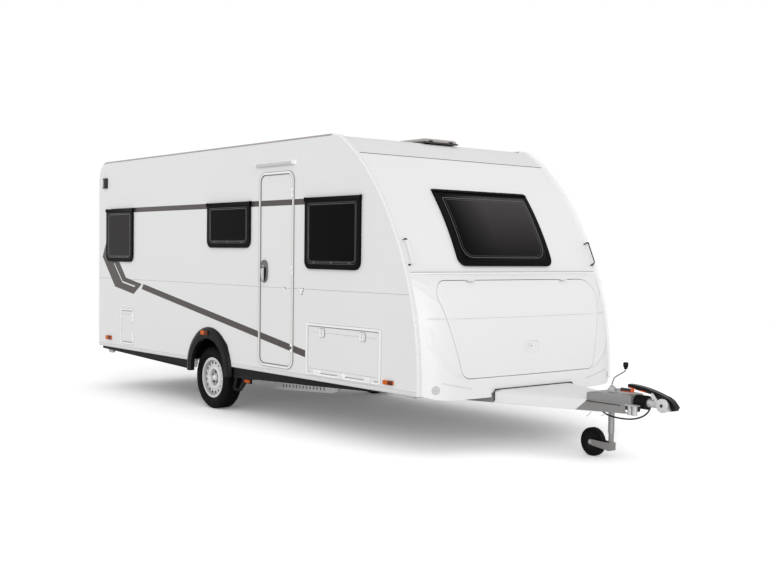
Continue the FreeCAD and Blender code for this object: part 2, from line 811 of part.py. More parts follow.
def bow_front(across, level_mm):
    """How far ahead the moulding's skin lies at a place on it, above the crease."""
    foot = dims.bow_low.value
    share = (level_mm - foot) / (belt_high.value - foot)
    heights = [1.0] + [h for h, s in BOW_FORM]
    shares = [BOW_CROWN] + [s for h, s in BOW_FORM]
    for i in range(len(heights) - 1):
        if heights[i] >= share >= heights[i + 1]:
            part = (heights[i] - share) / (heights[i] - heights[i + 1])
            return face_at(level_mm) + dims.bow.value * (shares[i] + (shares[i + 1] - shares[i]) * part)
    return face_at(level_mm) + dims.bow.value


lid_head = belt_high - dims.lid_under_belt


def lid_path(larger=0):
    """The lid seen from the front: shoulders rounded, sides leaning in towards the foot."""
    grow = size_of(larger)
    top_half = half - dims.lid_side_top + grow
    low_half = half - dims.lid_side_low + grow
    head = lid_head + grow
    foot = dims.lid_foot - grow
    shoulder = dims.lid_shoulder + grow
    corner = dims.lid_corner + grow
    return [
        (-low_half + corner, foot, corner, "left"), (low_half - corner, foot),
        (low_half, foot + corner, corner, "left"), (top_half, head - shoulder),
        (top_half - shoulder, head, shoulder, "left"), (-top_half + shoulder, head),
        (-top_half, head - shoulder, shoulder, "left"), (-low_half, foot + corner),
    ]


lid_reach = 500
lid_from = nose_foot - 180
bow_skin = bow_shell()
notch_half = 486
notch_high = dims.floor_low + 1
notch_cut = box(lid_from, -notch_half, notch_high - 163, lid_reach, notch_half * 2, 163)
lid_hole = prism(FRONT, lid_from, lid_reach, lid_path(dims.leaf_gap), name="lid_hole")
moulding = cut("moulding_panel", shaped("bow_solid", bow_skin), lid_hole, notch_cut)
lid_form = prism(FRONT, lid_from, lid_reach, lid_path(), name="lid_form")
lid_blank = doc.addObject("Part::Common", "lid_blank")
lid_blank.Base = shaped("lid_skin", bow_skin)
lid_blank.Tool = lid_form

# Recess for the lid's lock, with a finger bowl and the lock's barrel.
lock_level = lid_head - 546
lock_floor = face_at(lock_level.value) + dims.bow.value - 15
lock_room = prism(FRONT, lock_floor, 60, rounded(
    size_of(-98), lock_level - 48, size_of(98), lock_level + 50, size_of(16), size_of(36)), name="lock_room")
finger_bowl = doc.addObject("Part::Sphere", "finger_bowl")
finger_bowl.Radius = 66
bind(finger_bowl, "Placement.Base.x", lock_floor + 58)
bind(finger_bowl, "Placement.Base.y", -12)
bind(finger_bowl, "Placement.Base.z", lock_level - 4)
lock_barrel = rod(lock_floor - 10, 0, lock_level + 4, 12, 17, "x", "lock_barrel")
lid_panel = fuse("lid_panel", cut("lid_recessed", lid_blank, lock_room, finger_bowl), lock_barrel)


def hinge(x, y, z, along, fixed_to, moving_to):
    """Three-knuckle hinge. The outer knuckles carry the pin, the middle one turns on it.

    fixed_to and moving_to are the low corner and size of each side's strap, across the axis only.
    Returns the fixed pieces and the moving piece.
    """
    bore = dims.pin_radius + dims.running_gap
    step = dims.knuckle + 0.5
    places = {"x": x, "y": y, "z": z}

    def at(shift):
        moved = dict(places)
        moved[along] = moved[along] + shift
        return moved["x"], moved["y"], moved["z"]

    def strap(low, size, shift):
        corner = list(at(shift))
        spans = list(size)
        axis = "xyz".index(along)
        others = [i for i in range(3) if i != axis]
        for k, i in enumerate(others):
            corner[i] = corner[i] + low[k]
        full = [0, 0, 0]
        full[axis] = dims.knuckle
        for k, i in enumerate(others):
            full[i] = spans[k]
        return box(*corner, *full)

    start = -(dims.knuckle * 1.5 + 0.5)
    fixed = [rod(*at(start), dims.pin_radius, dims.knuckle * 3 + 1, along)]
    for shift in (start, start + step * 2):
        fixed.append(rod(*at(shift), dims.barrel_radius, dims.knuckle, along))
        fixed.append(strap(fixed_to[0], fixed_to[1], shift))
    middle = start + step
    body_of = fuse("turning_knuckle", rod(*at(middle), dims.barrel_radius, dims.knuckle, along),
                   strap(moving_to[0], moving_to[1], middle))
    hole = rod(*at(middle - 1), bore, dims.knuckle + 2, along)
    return fixed, cut("turning_knuckle_bored", body_of, hole)


# Gas locker: partition and shelf behind the moulding, and the lid hung from its top edge.

shelf_level = lid_head + 45
shelf_end = on_face(dims.belt_turn, dims.wall_thick)[0] - 12
locker_floor = dims.floor_low + dims.floor_thick
partition = box(dims.locker_wall, -inner_half, locker_floor,
                dims.locker_board, inner_half * 2, shelf_level - locker_floor)
shelf = box(dims.locker_wall, -inner_half, shelf_level,
            shelf_end - dims.locker_wall, inner_half * 2, dims.locker_board)
node(fuse("gas_locker_box", partition, shelf))

lid_hinge_proud = 26
lid_axis_z = lid_head + dims.leaf_gap / 2
lid_axis_x = size_of(round(bow_front(560, lid_axis_z.value), 1) + lid_hinge_proud) + dims.barrel_radius
lid_fixed = []
lid_moving = [lid_panel]
for across in (-560, 560):
    fixed, moving = hinge(
        lid_axis_x, size_of(across), lid_axis_z, "y",
        ((-38, 0), (38, dims.barrel_radius)), ((-38, -dims.barrel_radius), (38, dims.barrel_radius)))
    lid_fixed += fixed
    lid_moving.append(moving)
node(fuse("gas_locker_lid", *lid_moving))
reflector_turn = 25
reflectors = []
reflector_seats = []
for side in (-1, 1):
    facing = Vector(math.cos(math.radians(reflector_turn)),
                    side * math.sin(math.radians(reflector_turn)), 0)
    for grown_by, kept in ((0, reflectors), (0.3, reflector_seats)):
        lens = doc.addObject("Part::Cylinder", "reflector")
        lens.Radius = 34 + grown_by
        lens.Height = 14 + grown_by * 40
        place = Vector(nose_foot.value + 66.4, side * (half.value - 133), dims.floor_low.value + 50)
        lens.Placement = Placement(place - facing * grown_by,
                                   Rotation(Vector(0, 0, 1), facing))
        kept.append(lens)
node(cut("front_locker_moulding", fuse("moulding_with_knuckles", moulding, *lid_fixed),
         *reflector_seats))
node(group("front_reflectors", *reflectors))


# Entrance door, its frame, and the handle.

door_panel = new_body("door_panel")
pad(door_panel, SIDE, inner_half, dims.wall_thick, framed_path(DOOR, dims.door_corner, leaf_inset))
door_axis_x = DOOR[2] - dims.frame_wide - dims.leaf_gap / 2 + 0.5
axis_out = half + dims.frame_proud + dims.barrel_radius + 0.5
frame_path_out = framed_path(DOOR, dims.door_corner)
door_ring = prism(SIDE, half, dims.frame_proud, frame_path_out,
                  framed_path(DOOR, dims.door_corner, opening_inset), name="door_ring")
door_fixed = [door_ring]
door_moving = [door_panel]
strap_out = dims.barrel_radius + 0.5
for height in (DOOR[1] + 196, (DOOR[1] + DOOR[3]) / 2, DOOR[3] - 196):
    fixed, moving = hinge(
        door_axis_x, -axis_out, height, "z",
        ((0, 0), (20, strap_out)), ((-30, 0), (30, dims.frame_proud + strap_out)))
    door_fixed += fixed
    door_moving.append(moving)
node(fuse("door_frame", *door_fixed))
node(fuse("entrance_door", *door_moving))

handle_x = dims.door_rear + 91
handle_z = dims.door_low + 873
handle = new_body("door_handle")
pad(handle, SIDE, half, 14, rounded(handle_x - 50, handle_z - 103, handle_x + 50, handle_z + 103, 49))
pocket(handle, SIDE, half + 14, 9, rounded(handle_x - 34, handle_z - 70, handle_x + 10, handle_z + 70, 21))
node(handle)


# Service hatch hung at its foot, toilet hatch hung at its front edge.

service_panel = new_body("service_panel")
pad(service_panel, SIDE, inner_half, dims.wall_thick,
    framed_path(SERVICE, dims.hatch_corner, leaf_inset))
service_ring = prism(SIDE, half, dims.frame_proud, framed_path(SERVICE, dims.hatch_corner),
                     framed_path(SERVICE, dims.hatch_corner, opening_inset), name="service_ring")
service_axis_z = SERVICE[1] + dims.frame_wide + dims.leaf_gap / 2 - 0.5
ring_parts = [service_ring]
service_moving = [service_panel]
service_mid = dims.service_rear + dims.service_wide / 2
for shift in (-400, 0, 400):
    fixed, moving = hinge(
        service_mid + shift, -axis_out, service_axis_z, "x",
        ((0, -18), (strap_out, 18)), ((0, 0), (dims.frame_proud + strap_out, 30)))
    ring_parts += fixed
    service_moving.append(moving)
lock_high = SERVICE[3] - 75
for place in (dims.service_rear + 233, dims.service_rear + 795):
    service_moving.append(prism(SIDE, half, 6, rounded(
        place - 33, lock_high - 31, place + 33, lock_high + 31, size_of(10)), name="service_lock"))
service_fixed = fuse("service_frame", *ring_parts)
node(fuse("service_door", *service_moving))

toilet_panel = new_body("toilet_panel")
pad(toilet_panel, SIDE, inner_half, dims.wall_thick,
    framed_path(TOILET, dims.hatch_corner, leaf_inset))
toilet_ring = prism(SIDE, half, dims.frame_proud, framed_path(TOILET, dims.hatch_corner),
                    framed_path(TOILET, dims.hatch_corner, opening_inset), name="toilet_ring")
toilet_axis_x = TOILET[2] - dims.frame_wide - dims.leaf_gap / 2 + 0.5
ring_parts = [toilet_ring]
toilet_moving = [toilet_panel]
toilet_mid = dims.toilet_low + dims.toilet_tall / 2
for shift in (-105, 105):
    fixed, moving = hinge(
        toilet_axis_x, -axis_out, toilet_mid + shift, "z",
        ((0, 0), (18, strap_out)), ((-30, 0), (30, dims.frame_proud + strap_out)))
    ring_parts += fixed
    toilet_moving.append(moving)
for shift in (-100, 100):
    toilet_moving.append(prism(SIDE, half, 6, rounded(
        TOILET[0] + 34, toilet_mid + (shift - 18), TOILET[0] + 62, toilet_mid + (shift + 18),
        size_of(7)), name="toilet_lock"))
toilet_fixed = fuse("toilet_frame", *ring_parts)
node(fuse("toilet_door", *toilet_moving))
node(group("hatch_frames", service_fixed, toilet_fixed))


# Windows: frames that stand proud of the wall, with their double panes.

pane_back = dims.window_proud - dims.pane_thick - 3
side_frames = []
side_panes = []
for name, edges in SIDE_WINDOWS.items():
    ring = prism(SIDE, half, dims.window_proud, window_path(edges),
                 window_path(edges, pane_inset - dims.seat_gap), name=name + "_frame")
    pane = prism(SIDE, half + pane_back, dims.pane_thick, window_path(edges, pane_inset),
                 name=name + "_pane")
    side_frames += [ring, mirrored(ring, name + "_frame_left")]
    side_panes += [pane, mirrored(pane, name + "_pane_left")]


def front_skin(outward, inward, name):
    """Slice of the nose between two offsets of its profile."""
    path = front_path(-size_of(outward)) + backwards(front_path(size_of(inward)))
    return prism(SIDE, -dims.front_window_half - 50, dims.front_window_half * 2 + 100, path, name=name)


def common(label, base, tool):
    shared = doc.addObject("Part::Common", label)
    shared.Label = label
    shared.Base = base
    shared.Tool = tool
    return shared


glass_from = nose_foot - 980
front_tube = prism(FRONT, glass_from, 1000, window_path(front_window),
                   window_path(front_window, pane_inset - dims.seat_gap), name="front_frame_tube")
front_frame = common("front_frame", front_skin(dims.window_proud, 0, "front_frame_skin"), front_tube)
front_plug = prism(FRONT, glass_from, 1000, window_path(front_window, pane_inset), name="front_pane_plug")
front_pane = common("front_pane", front_skin(dims.window_proud - 3, 3 + dims.pane_thick
                                             - dims.window_proud, "front_pane_skin"), front_plug)
rear_frame = prism(FRONT, rear_face - dims.window_proud, dims.window_proud, window_path(rear_window),
                   window_path(rear_window, pane_inset - dims.seat_gap), name="rear_frame")
rear_pane = prism(FRONT, rear_face - dims.window_proud + 3, dims.pane_thick,
                  window_path(rear_window, pane_inset), name="rear_pane")
node(group("window_frames", *side_frames, front_frame, rear_frame))
node(group("window_panes", *side_panes, front_pane, rear_pane))


# Edge rails over the corners, ribbed sill strips, black skirts.

rails = new_body("edge_rails")
rail_path = over_the_top(-dims.rail_thick) + backwards(over_the_top())
pad(rails, SIDE, half - dims.rail_wide, dims.rail_wide + 2, rail_path)
pad(rails, SIDE, -half - 2, dims.rail_wide + 2, rail_path)
trim_foot(rails)
node(rails)

sill_gap = 3
arch_rear = dims.arch_centre - dims.arch_radius
arch_front = dims.arch_centre + dims.arch_radius


def sill_section():
    """Ribbed section, seen along the body, of the right-hand strip."""
    face = -half
    proud = face - dims.sill_proud
    low = dims.floor_low
    rib = dims.sill_high / 5
    return [(face, low), (proud, low), (proud, low + rib), (face - 2, low + rib * 1.4),
            (proud, low + rib * 1.8), (proud, low + rib * 2.8), (face - 2, low + rib * 3.2),
            (proud, low + rib * 3.6), (proud, low + rib * 4.6), (face, low + rib * 5)]


sill_rear = prism(FRONT, rear_face + 4, arch_rear - sill_gap - rear_face - 4,
                  backwards(sill_section()), name="sill_rear")
sill_front = prism(FRONT, arch_front + sill_gap, nose_foot - 4 - arch_front - sill_gap,
                   backwards(sill_section()), name="sill_front")
sill_left = [mirrored(s, s.Name + "_left") for s in (sill_rear, sill_front)]
node(group("sill_strips", sill_rear, sill_front, *sill_left))

skirt_top = dims.floor_low
skirt_rear_end = rear_face + 70
skirt_arch_gap = 8
SKIRT_REAR = [(skirt_rear_end, skirt_top), (skirt_rear_end, skirt_top - 22), (-990, skirt_top - 56),
              (arch_rear - skirt_arch_gap, skirt_top - 67), (arch_rear - skirt_arch_gap, skirt_top)]
SKIRT_FRONT = [(arch_front + skirt_arch_gap, skirt_top), (arch_front + skirt_arch_gap, skirt_top - 90),
               (790, skirt_top - 77), (1670, skirt_top - 60), (2450, skirt_top - 27),
               (nose_foot - 222, skirt_top)]
skirt_place = half - dims.skirt_inset - dims.skirt_thick
skirts = [prism(SIDE, skirt_place, dims.skirt_thick, backwards(path), name="skirt")
          for path in (SKIRT_REAR, SKIRT_FRONT)]
node(group("skirts", *skirts, *[mirrored(s, "skirt_left") for s in skirts]))


def arch_trim():
    """Flared black trim: one thin section turned over the wheel and run down as two legs."""
    gauge = 4
    radius = dims.arch_radius
    brim = half + dims.arch_proud
    section = [
        (-half, radius), (-half - dims.arch_proud * 0.75, radius - 16),
        (-brim, radius - 48), (-brim, radius - dims.arch_band),
        (-half + 12, radius - dims.arch_band), (-half + 12, radius - dims.arch_band + gauge),
        (-brim + gauge, radius - dims.arch_band + gauge), (-brim + gauge, radius - 49),
        (-half - dims.arch_proud * 0.75 + gauge, radius - 19), (-half, radius - 8),
    ]
    trim = new_body("arch_trim")
    feature = turned(trim, FRONT, dims.arch_centre, dims.arch_level, section, degrees=180)
    feature.Midplane = True
    for way in (-1, 1):
        leg = [(dims.arch_centre + v * way, u) for u, v in section]
        pad(trim, PLAN, dims.arch_foot, dims.arch_level - dims.arch_foot, leg)
    return trim


node(pair("wheel_arch_trims", arch_trim()))


def pipe(points, radius, bend=None):
    """Round bar or tube: each straight run extruded, each bend between two runs turned.

    Without a bend radius each bend is as large as its two runs allow.
    """
    pieces = []
    at = points[0]
    for i in range(1, len(points) - 1):
        corner = points[i]
        before = corner - points[i - 1]
        after = points[i + 1] - corner
        shorter = min(before.Length, after.Length)
        before.normalize()
        after.normalize()
        half_turn = before.getAngle(after) / 2
        reach = bend or 0.45 * shorter / math.tan(half_turn)
        back = reach * math.tan(half_turn)
        start = corner - before * back
        axis = before.cross(after).normalize()
        centre = start + axis.cross(before) * reach
        pieces.append(Part.makeCylinder(radius, (start - at).Length, at, before))
        ring = Part.Face(Part.Wire(Part.Circle(start, before, radius).toShape()))
        pieces.append(ring.revolve(centre, axis, math.degrees(half_turn * 2)))
        at = corner + after * back
    last = points[-1] - at
    pieces.append(Part.makeCylinder(radius, last.Length, at, last))
    return pieces[0].fuse(pieces[1:]).removeSplitter()


def slanted(start, end, radius, name="bar"):
    """Round bar between two points."""
    thing = doc.addObject("Part::Cylinder", name)
    line = end - start
    thing.Placement = Placement(start, Rotation(Vector(0, 0, 1), line))
    thing.Radius = radius
    thing.Height = line.Length
    return thing


# Lamps, reflectors, handles and the other fittings on the body.

marker_foot = dims.floor_low + 63
MARKERS = {
    "front_marker": (nose_foot - 404, marker_foot, nose_foot - 281, marker_foot + 34),
    "rear_marker": (rear_face + 199, marker_foot + 21, rear_face + 334, marker_foot + 66),
}
marker_depth = 16
markers = []
for name, edges in MARKERS.items():
    markers.append(prism(SIDE, half, marker_depth,
                         rounded(*edges, 10), name=name))
arch_marker = box(dims.arch_centre - 105, -half - dims.arch_proud - 12, dims.arch_level + 347,
                  126, 12, 43, "arch_marker")
markers.append(arch_marker)
node(group("side_markers", *markers, *[mirrored(m, m.Name + "_left") for m in markers]))

lamp_rear = rear_face + 109
outline_lamp = prism(PLAN, dims.roof_high - 288, 116, [
    (lamp_rear, -half), (lamp_rear + 19, -half - 26), (lamp_rear + 91, -half - 26),
    (lamp_rear + 109, -half)], name="outline_lamp")
node(pair("outline_lamps", outline_lamp))


def front_handle(side):
    low = on_face(dims.belt_turn - 1.6, -1)
    high = on_face(dims.belt_turn - 6.2, -1)
    across = side * (half.value - 60)
    low = Vector(low[0].value, across, low[1].value)
    high = Vector(high[0].value, across, high[1].value)
    out = Vector(0.9, 0, 0.44) * 52
    return pipe([high, high + out, low + out, low], 8, 22)


def rear_handle(side):
    across = side * (half.value - 120)
    foot = Vector(rear_face.value, across, dims.tail_high.value + 220)
    head = Vector(rear_face.value, across, dims.tail_high.value + 420)
    out = Vector(-42, 0, 0)
    return pipe([foot, foot + out, head + out, head], 8, 22)


handles = [shaped("grab_handle", make(side)) for side in (-1, 1) for make in (front_handle, rear_handle)]
node(group("grab_handles", *handles))

lamp_foot = DOOR[3] + 50
node(prism(FRONT, DOOR[0] - 55, dims.door_wide + 77, [
    (-half, lamp_foot), (-half, lamp_foot + 44), (-half - 10, lamp_foot + 44),
    (-half - 30, lamp_foot + 32), (-half - 30, lamp_foot + 18), (-half - 22, lamp_foot + 4)],
    name="awning_lamp"))

tail = new_body("rear_panel")
pad(tail, FRONT, rear_face - dims.tail_proud, dims.tail_proud,
    rounded(-inner_half + 9, dims.floor_low - 8, inner_half - 9, dims.tail_high, size_of(30), size_of(90)))
plate_low = dims.floor_low + 178
pocket(tail, FRONT, rear_face - dims.tail_proud, 8,
       rounded(size_of(-270), plate_low, size_of(270), plate_low + 140, 12))
node(tail)
lamp = prism(FRONT, rear_face - dims.tail_proud - dims.lamp_proud, dims.lamp_proud, rounded(
    -half + 80, dims.tail_high - 400, -half + 300, dims.tail_high - 100, 40), name="lamp_cluster")
brake_lamp_low = dims.roof_high - 332
high_lamp = prism(FRONT, rear_face - 12, 12, rounded(
    size_of(-180), brake_lamp_low, size_of(180), brake_lamp_low + 30, 8), name="high_brake_lamp")
node(group("rear_lamps", lamp, mirrored(lamp, "lamp_cluster_left"), high_lamp))


def rooflight(edges):
    """Frame and low dome over an opening in the roof."""
    roof_top = dims.roof_high.value
    proud = dims.rooflight_proud.value
    outer = grown(*edges, dims.rooflight_lip)
    rim = [e.value for e in outer]
    rings = []
    for inset, level_mm in ((10, roof_top + 14), (16, roof_top + proud - 8), (34, roof_top + proud)):
        u0, v0, u1, v1 = rim[0] + inset, rim[1] + inset, rim[2] - inset, rim[3] - inset
        rings.append(Part.makePolygon([Vector(u, v, level_mm) for u, v in (
            (u0, v0), (u1, v0), (u1, v1), (u0, v1), (u0, v0))]))
    base = prism(PLAN, dims.roof_high, 14, square(*outer), name="rooflight_frame")
    return fuse("rooflight", base, shaped("rooflight_dome", Part.makeLoft(rings, True, True)))


node(group("rooflights", *[rooflight(edges) for edges in ROOFLIGHTS]))


def louvred_vent(low):
    """Plastic fridge vent: a frame with sloping slats in front of a back plate."""
    deep = 14
    rear = dims.vent_rear
    front = rear + dims.vent_wide
    low = size_of(low)
    head = low + dims.vent_tall
    plate = prism(SIDE, -half - deep, deep, rounded(rear, low, front, head, 18), name="vent_plate")
    count = int((dims.vent_tall.value - 46) / 18) + 1
    slots = [prism(SIDE, -half - deep - 1, 8,
                   square(rear + 25, low + 22 + 18 * i, front - 25, low + 31 + 18 * i), name="slot")
             for i in range(count)]
    return cut("vent", plate, *slots)


inlet_low = dims.floor_low + 138
inlet = prism(SIDE, -half - 22, 22, rounded(dims.inlet_rear, inlet_low, dims.inlet_rear + 120,
                                            inlet_low + 140, 14), name="mains_inlet")
filler = rod(dims.filler_place, half, dims.floor_low + 238, 52, 20, "y", "water_filler")
node(group("service_fittings", louvred_vent(dims.floor_low + 98), louvred_vent(dims.floor_low + 688),
           inlet, filler))


# Chassis: perforated rails, cross members, A-frame with its white cover.

RAIL_DEEP_REAR = -260
RAIL_DEEP_FRONT = 1500
RAIL_END = 2540
rail_top = dims.floor_low
rail_start = rear_face + 80


def rail_outline(smaller):
    """Side view of a chassis rail: deep at the axle, shallow towards its ends."""
    shallow = rail_top - dims.rail_shallow + smaller
    deep = rail_top - dims.rail_deep + smaller
    top = rail_top - smaller
    return [(rail_start, top), (rail_start, shallow), (-900, shallow), (RAIL_DEEP_REAR, deep),
            (RAIL_DEEP_FRONT, deep), (RAIL_DEEP_FRONT + 120, shallow), (RAIL_END, shallow), (RAIL_END, top)]


rail_solid = prism(SIDE, rail_line - dims.rail_flange, dims.rail_flange, rail_outline(0), name="rail")
rail_room = prism(SIDE, rail_line - dims.rail_flange - 1, dims.rail_flange + 1 - dims.rail_web,
                  rail_outline(dims.rail_web), name="rail_room")
holes = []
hole_foot = rail_top - dims.rail_deep + dims.hole_above
for step in range(int((RAIL_DEEP_FRONT - 750) / dims.hole_pitch.value)):
    holes.append(box(760 + dims.hole_pitch * step, -rail_line - 1, hole_foot,
                     dims.hole_wide, dims.rail_web + 2, dims.hole_tall, "rail_hole"))
holes.append(rod(dims.axle_ahead, -rail_line - 1, dims.axle_level,
                 dims.axle_tube + dims.seat_gap, dims.rail_flange + 2, "y", "axle_hole"))
node(pair("chassis_rails", cut("rail_pressed", rail_solid, rail_room, *holes)))

member_reach = rail_line - dims.rail_web
members = []
for x in (rear_face + 100, rear_face + 920, 1160, 2240):
    members.append(prism(SIDE, -member_reach, member_reach * 2,
                         square(x, rail_top - 60, x + 50, rail_top - dims.rail_web),
                         square(x + 4, rail_top - 56, x + 46, rail_top - dims.rail_web - 4),
                         name="cross_member"))
tip_plate = box(dims.draw_tip + 0.5, -98, dims.draw_high + dims.seat_gap - 10, 110, 44, 10, "tip_plate")
sleeves = [rod(dims.draw_tip + ahead, -76, dims.draw_low - 8, 19, 80, "z", "tip_sleeve")
           for ahead in (32, 78)]
node(group("cross_members", *members, fuse("tip_socket", tip_plate, *sleeves)))

draw_out = rail_line + dims.seat_gap + dims.draw_wide
draw_slope = (draw_out - dims.draw_tip_half) / (dims.draw_tip - dims.draw_bend)
lean = (draw_slope * draw_slope + 1).value ** 0.5


def draw_plan(shift, wide):
    """Plan of the right-hand arm of the A-frame, moved inwards by a shift, with a width."""
    near = -draw_out + shift
    far = near + wide
    skew = lean * 1.0
    tip_near = -dims.draw_tip_half + shift * skew
    tip_far = tip_near + wide * skew
    bend_near = dims.draw_tip - (tip_near - near) / draw_slope
    bend_far = dims.draw_tip - (tip_far - far) / draw_slope
    return [(dims.draw_rear, near), (bend_near, near), (dims.draw_tip, tip_near),
            (dims.draw_tip, tip_far), (bend_far, far), (dims.draw_rear, far)]


arm = prism(PLAN, dims.draw_low, dims.draw_high - dims.draw_low, draw_plan(0, dims.draw_wide), name="arm")
arm_room = prism(PLAN, dims.draw_low + 4, dims.draw_high - dims.draw_low - 8,
                 draw_plan(4, dims.draw_wide + 5), name="arm_room")
node(pair("drawbar_arms", cut("arm_pressed", arm, arm_room)))


def cover_section(x, inward):
    """Section of the drawbar cover: upright sides over the arms, a flat crown between."""
    side = (dims.draw_tip_half + (dims.draw_tip - x) * draw_slope).value + 6 - inward * 1.1
    foot = dims.draw_low.value + 2
    shoulder = 470 - inward
    crown = 486 - inward
    return Part.makePolygon([Vector(x, y, z) for y, z in (
        (-side, foot), (side, foot), (side, shoulder), (side - 60, crown), (-side + 60, crown),
        (-side, shoulder), (-side, foot))])


cover_rear = 3337
cover_front = dims.housing_rear.value - 1
cover = Part.makeLoft([cover_section(cover_rear, 0), cover_section(cover_front, 0)], True, True)
room = Part.makeLoft([cover_section(cover_rear - 1, 5), cover_section(cover_front + 1, 5)], True, True)
room.translate(Vector(0, 0, -5))
slant_low = dims.draw_low.value
slant = Part.Face(Part.makePolygon([
    Vector(cover_front - 80, -400, slant_low), Vector(cover_front + 1, -400, slant_low),
    Vector(cover_front + 1, -400, slant_low + 78), Vector(cover_front - 80, -400, slant_low)]))
node(shaped("drawbar_cover", cover.cut(room).cut(slant.extrude(Vector(0, 800, 0)))))


# Overrun housing, drawtube, bellows and coupling head.

housing_low = dims.draw_high + dims.seat_gap
housing = new_body("housing_block")


def arm_half(x):
    return dims.draw_tip_half + (dims.draw_tip - x) * draw_slope


pad(housing, PLAN, housing_low, dims.housing_high - housing_low, [
    (dims.housing_rear, -arm_half(dims.housing_rear)), (dims.bellows_start, -arm_half(dims.bellows_start)),
    (dims.bellows_start, arm_half(dims.bellows_start)), (dims.housing_rear, arm_half(dims.housing_rear))])
doc.recompute()
rims = [i for i, e in enumerate(housing.Shape.Edges, start=1)
        if all(abs(v.Point.z - dims.housing_high.value) < 0.01 for v in e.Vertexes)]
block_tip = housing.Tip
rounding = housing.newObject("PartDesign::Fillet", "housing_fillet")
rounding.Base = (block_tip, ["Edge%d" % i for i in rims])
rounding.Radius = 16
housing.Tip = rounding
jockey_room = rod(dims.jockey_place, 0, housing_low - 1, dims.jockey_tube + dims.seat_gap,
                  dims.housing_high - housing_low + 2, "z", "jockey_room")
tube_start = dims.jockey_place + dims.jockey_tube + 30
tube_room = rod(tube_start, 0, dims.tube_level, dims.drawtube_radius + dims.seat_gap,
                dims.bellows_start - tube_start + 1, "x", "tube_room")
drilled = cut("housing_drilled", housing, tube_room, jockey_room)
relay_low = dims.draw_low + 16
relay = box(dims.housing_rear - 24, -12, relay_low, 26, 24, housing_low - relay_low, "relay_lug")
node(fuse("overrun_housing", drilled, relay))

neck_start = dims.bellows_start + dims.bellows_length + 2
node(group("drawtube", rod(tube_start, 0, dims.tube_level, dims.drawtube_radius,
                           neck_start - tube_start, "x", "drawtube_bar")))


def bellows_section():
    """Folds of the bellows above its inner wall."""
    folds = int(dims.bellows_folds.value)
    pitch = dims.bellows_length / folds
    inner = dims.drawtube_radius + dims.seat_gap
    valley = dims.bellows_radius - 11
    path = [(dims.bellows_start, inner), (dims.bellows_start, valley)]
    for fold in range(folds):
        start = dims.bellows_start + pitch * fold
        path.append((start + pitch * 0.35, dims.bellows_radius))
        path.append((start + pitch * 0.65, dims.bellows_radius))
        path.append((start + pitch, valley))
    path.append((dims.bellows_start + dims.bellows_length, inner))
    return backwards(path)


bellows = new_body("bellows")
turned(bellows, SIDE, 0, dims.tube_level, bellows_section())
node(bellows)

head_low = dims.tube_level - 46
pad_level = dims.tube_level - 1
neck = rod(neck_start, 0, dims.tube_level, 32, dims.ball_place - neck_start, "x", "neck")
block = rod(dims.ball_place, 0, head_low, dims.head_half, 48, "z", "head_block")
dome = doc.addObject("Part::Sphere", "head_dome")
bind(dome, "Radius", dims.head_half)
bind(dome, "Placement.Base.x", dims.ball_place)
bind(dome, "Placement.Base.z", dims.tube_level)
boss = rod(dims.ball_place, -60, pad_level, 24, 120, "y", "pad_boss")
pads = [rod(dims.ball_place, start, pad_level, 52, 14, "y", "friction_pad") for start in (-60, 46)]
socket = rod(dims.ball_place, 0, head_low - 10, dims.socket_radius, 56, "z", "socket")
crown = doc.addObject("Part::Sphere", "socket_crown")
bind(crown, "Radius", dims.socket_radius)
bind(crown, "Placement.Base.x", dims.ball_place)
bind(crown, "Placement.Base.z", dims.tube_level)
node(cut("coupling_head", fuse("head_solid", neck, block, dome, boss, *pads), socket, crown))



def from_ball(path):
    """Corners measured from the tow ball's centre."""
    return [(dims.ball_place + c[0], dims.tube_level + c[1]) + tuple(c[2:]) for c in path]


reach = dims.lever_reach
LEVER = from_ball([(-338, 101), (-338, 127), (17, 57, 1000, "right"), (reach, -8, 180, "right"),
                   (reach - 14, -34), (58, -34), (50, 4), (14, 36), (-90, 66)])
LEVER_ROOM = from_ball([(-112, -51), (-112, 62), (-30, 50), (20, 43), (46, 14), (48, -51)])
lever_side = dims.head_half + dims.seat_gap
lever_half = dims.head_half + 7
lever_arm = from_ball([(-20, -36), (30, -24), (44, 10), (10, 57), (-50, 72), (-100, 78)])
grip_half = lever_half - 18
lever_grip = prism(SIDE, -grip_half, grip_half * 2, backwards(LEVER), name="lever_grip")
arm_plates = prism(SIDE, -lever_half, lever_half * 2, lever_arm, name="lever_arms")
lever_room = prism(SIDE, -lever_side, lever_side * 2, backwards(LEVER_ROOM), name="lever_room")
lever_hole = rod(dims.ball_place, -lever_half - 1, pad_level, 24.3, lever_half * 2 + 2, "y", "lever_hole")
node(cut("stabiliser_lever", fuse("lever_solid", lever_grip, arm_plates), lever_room, lever_hole))

brake_x = dims.housing_rear + 132
brake_z = dims.housing_high
brake_foot = box(brake_x, -78, brake_z, 44, 30, 16, "brake_foot")
brake_bar = shaped("brake_bar", pipe([
    Vector(brake_x.value + 20, -63, brake_z.value + 8), Vector(brake_x.value + 30, -63, brake_z.value + 30),
    Vector(brake_x.value + 104, -63, brake_z.value + 30)], 7, 12))
brake_grip = rod(brake_x + 94, -63, brake_z + 30, 15, 110, "x", "brake_grip")
brake_lever = fuse("brake_lever", brake_foot, brake_bar, brake_grip)

brake_rod = slanted(Vector((dims.axle_ahead + dims.axle_tube + 1).value, 0, dims.axle_level.value + 8),
                    Vector(dims.housing_rear.value - 25, 0, relay_low.value + 15), 6, "brake_rod")
node(group("handbrake", brake_lever, brake_rod))

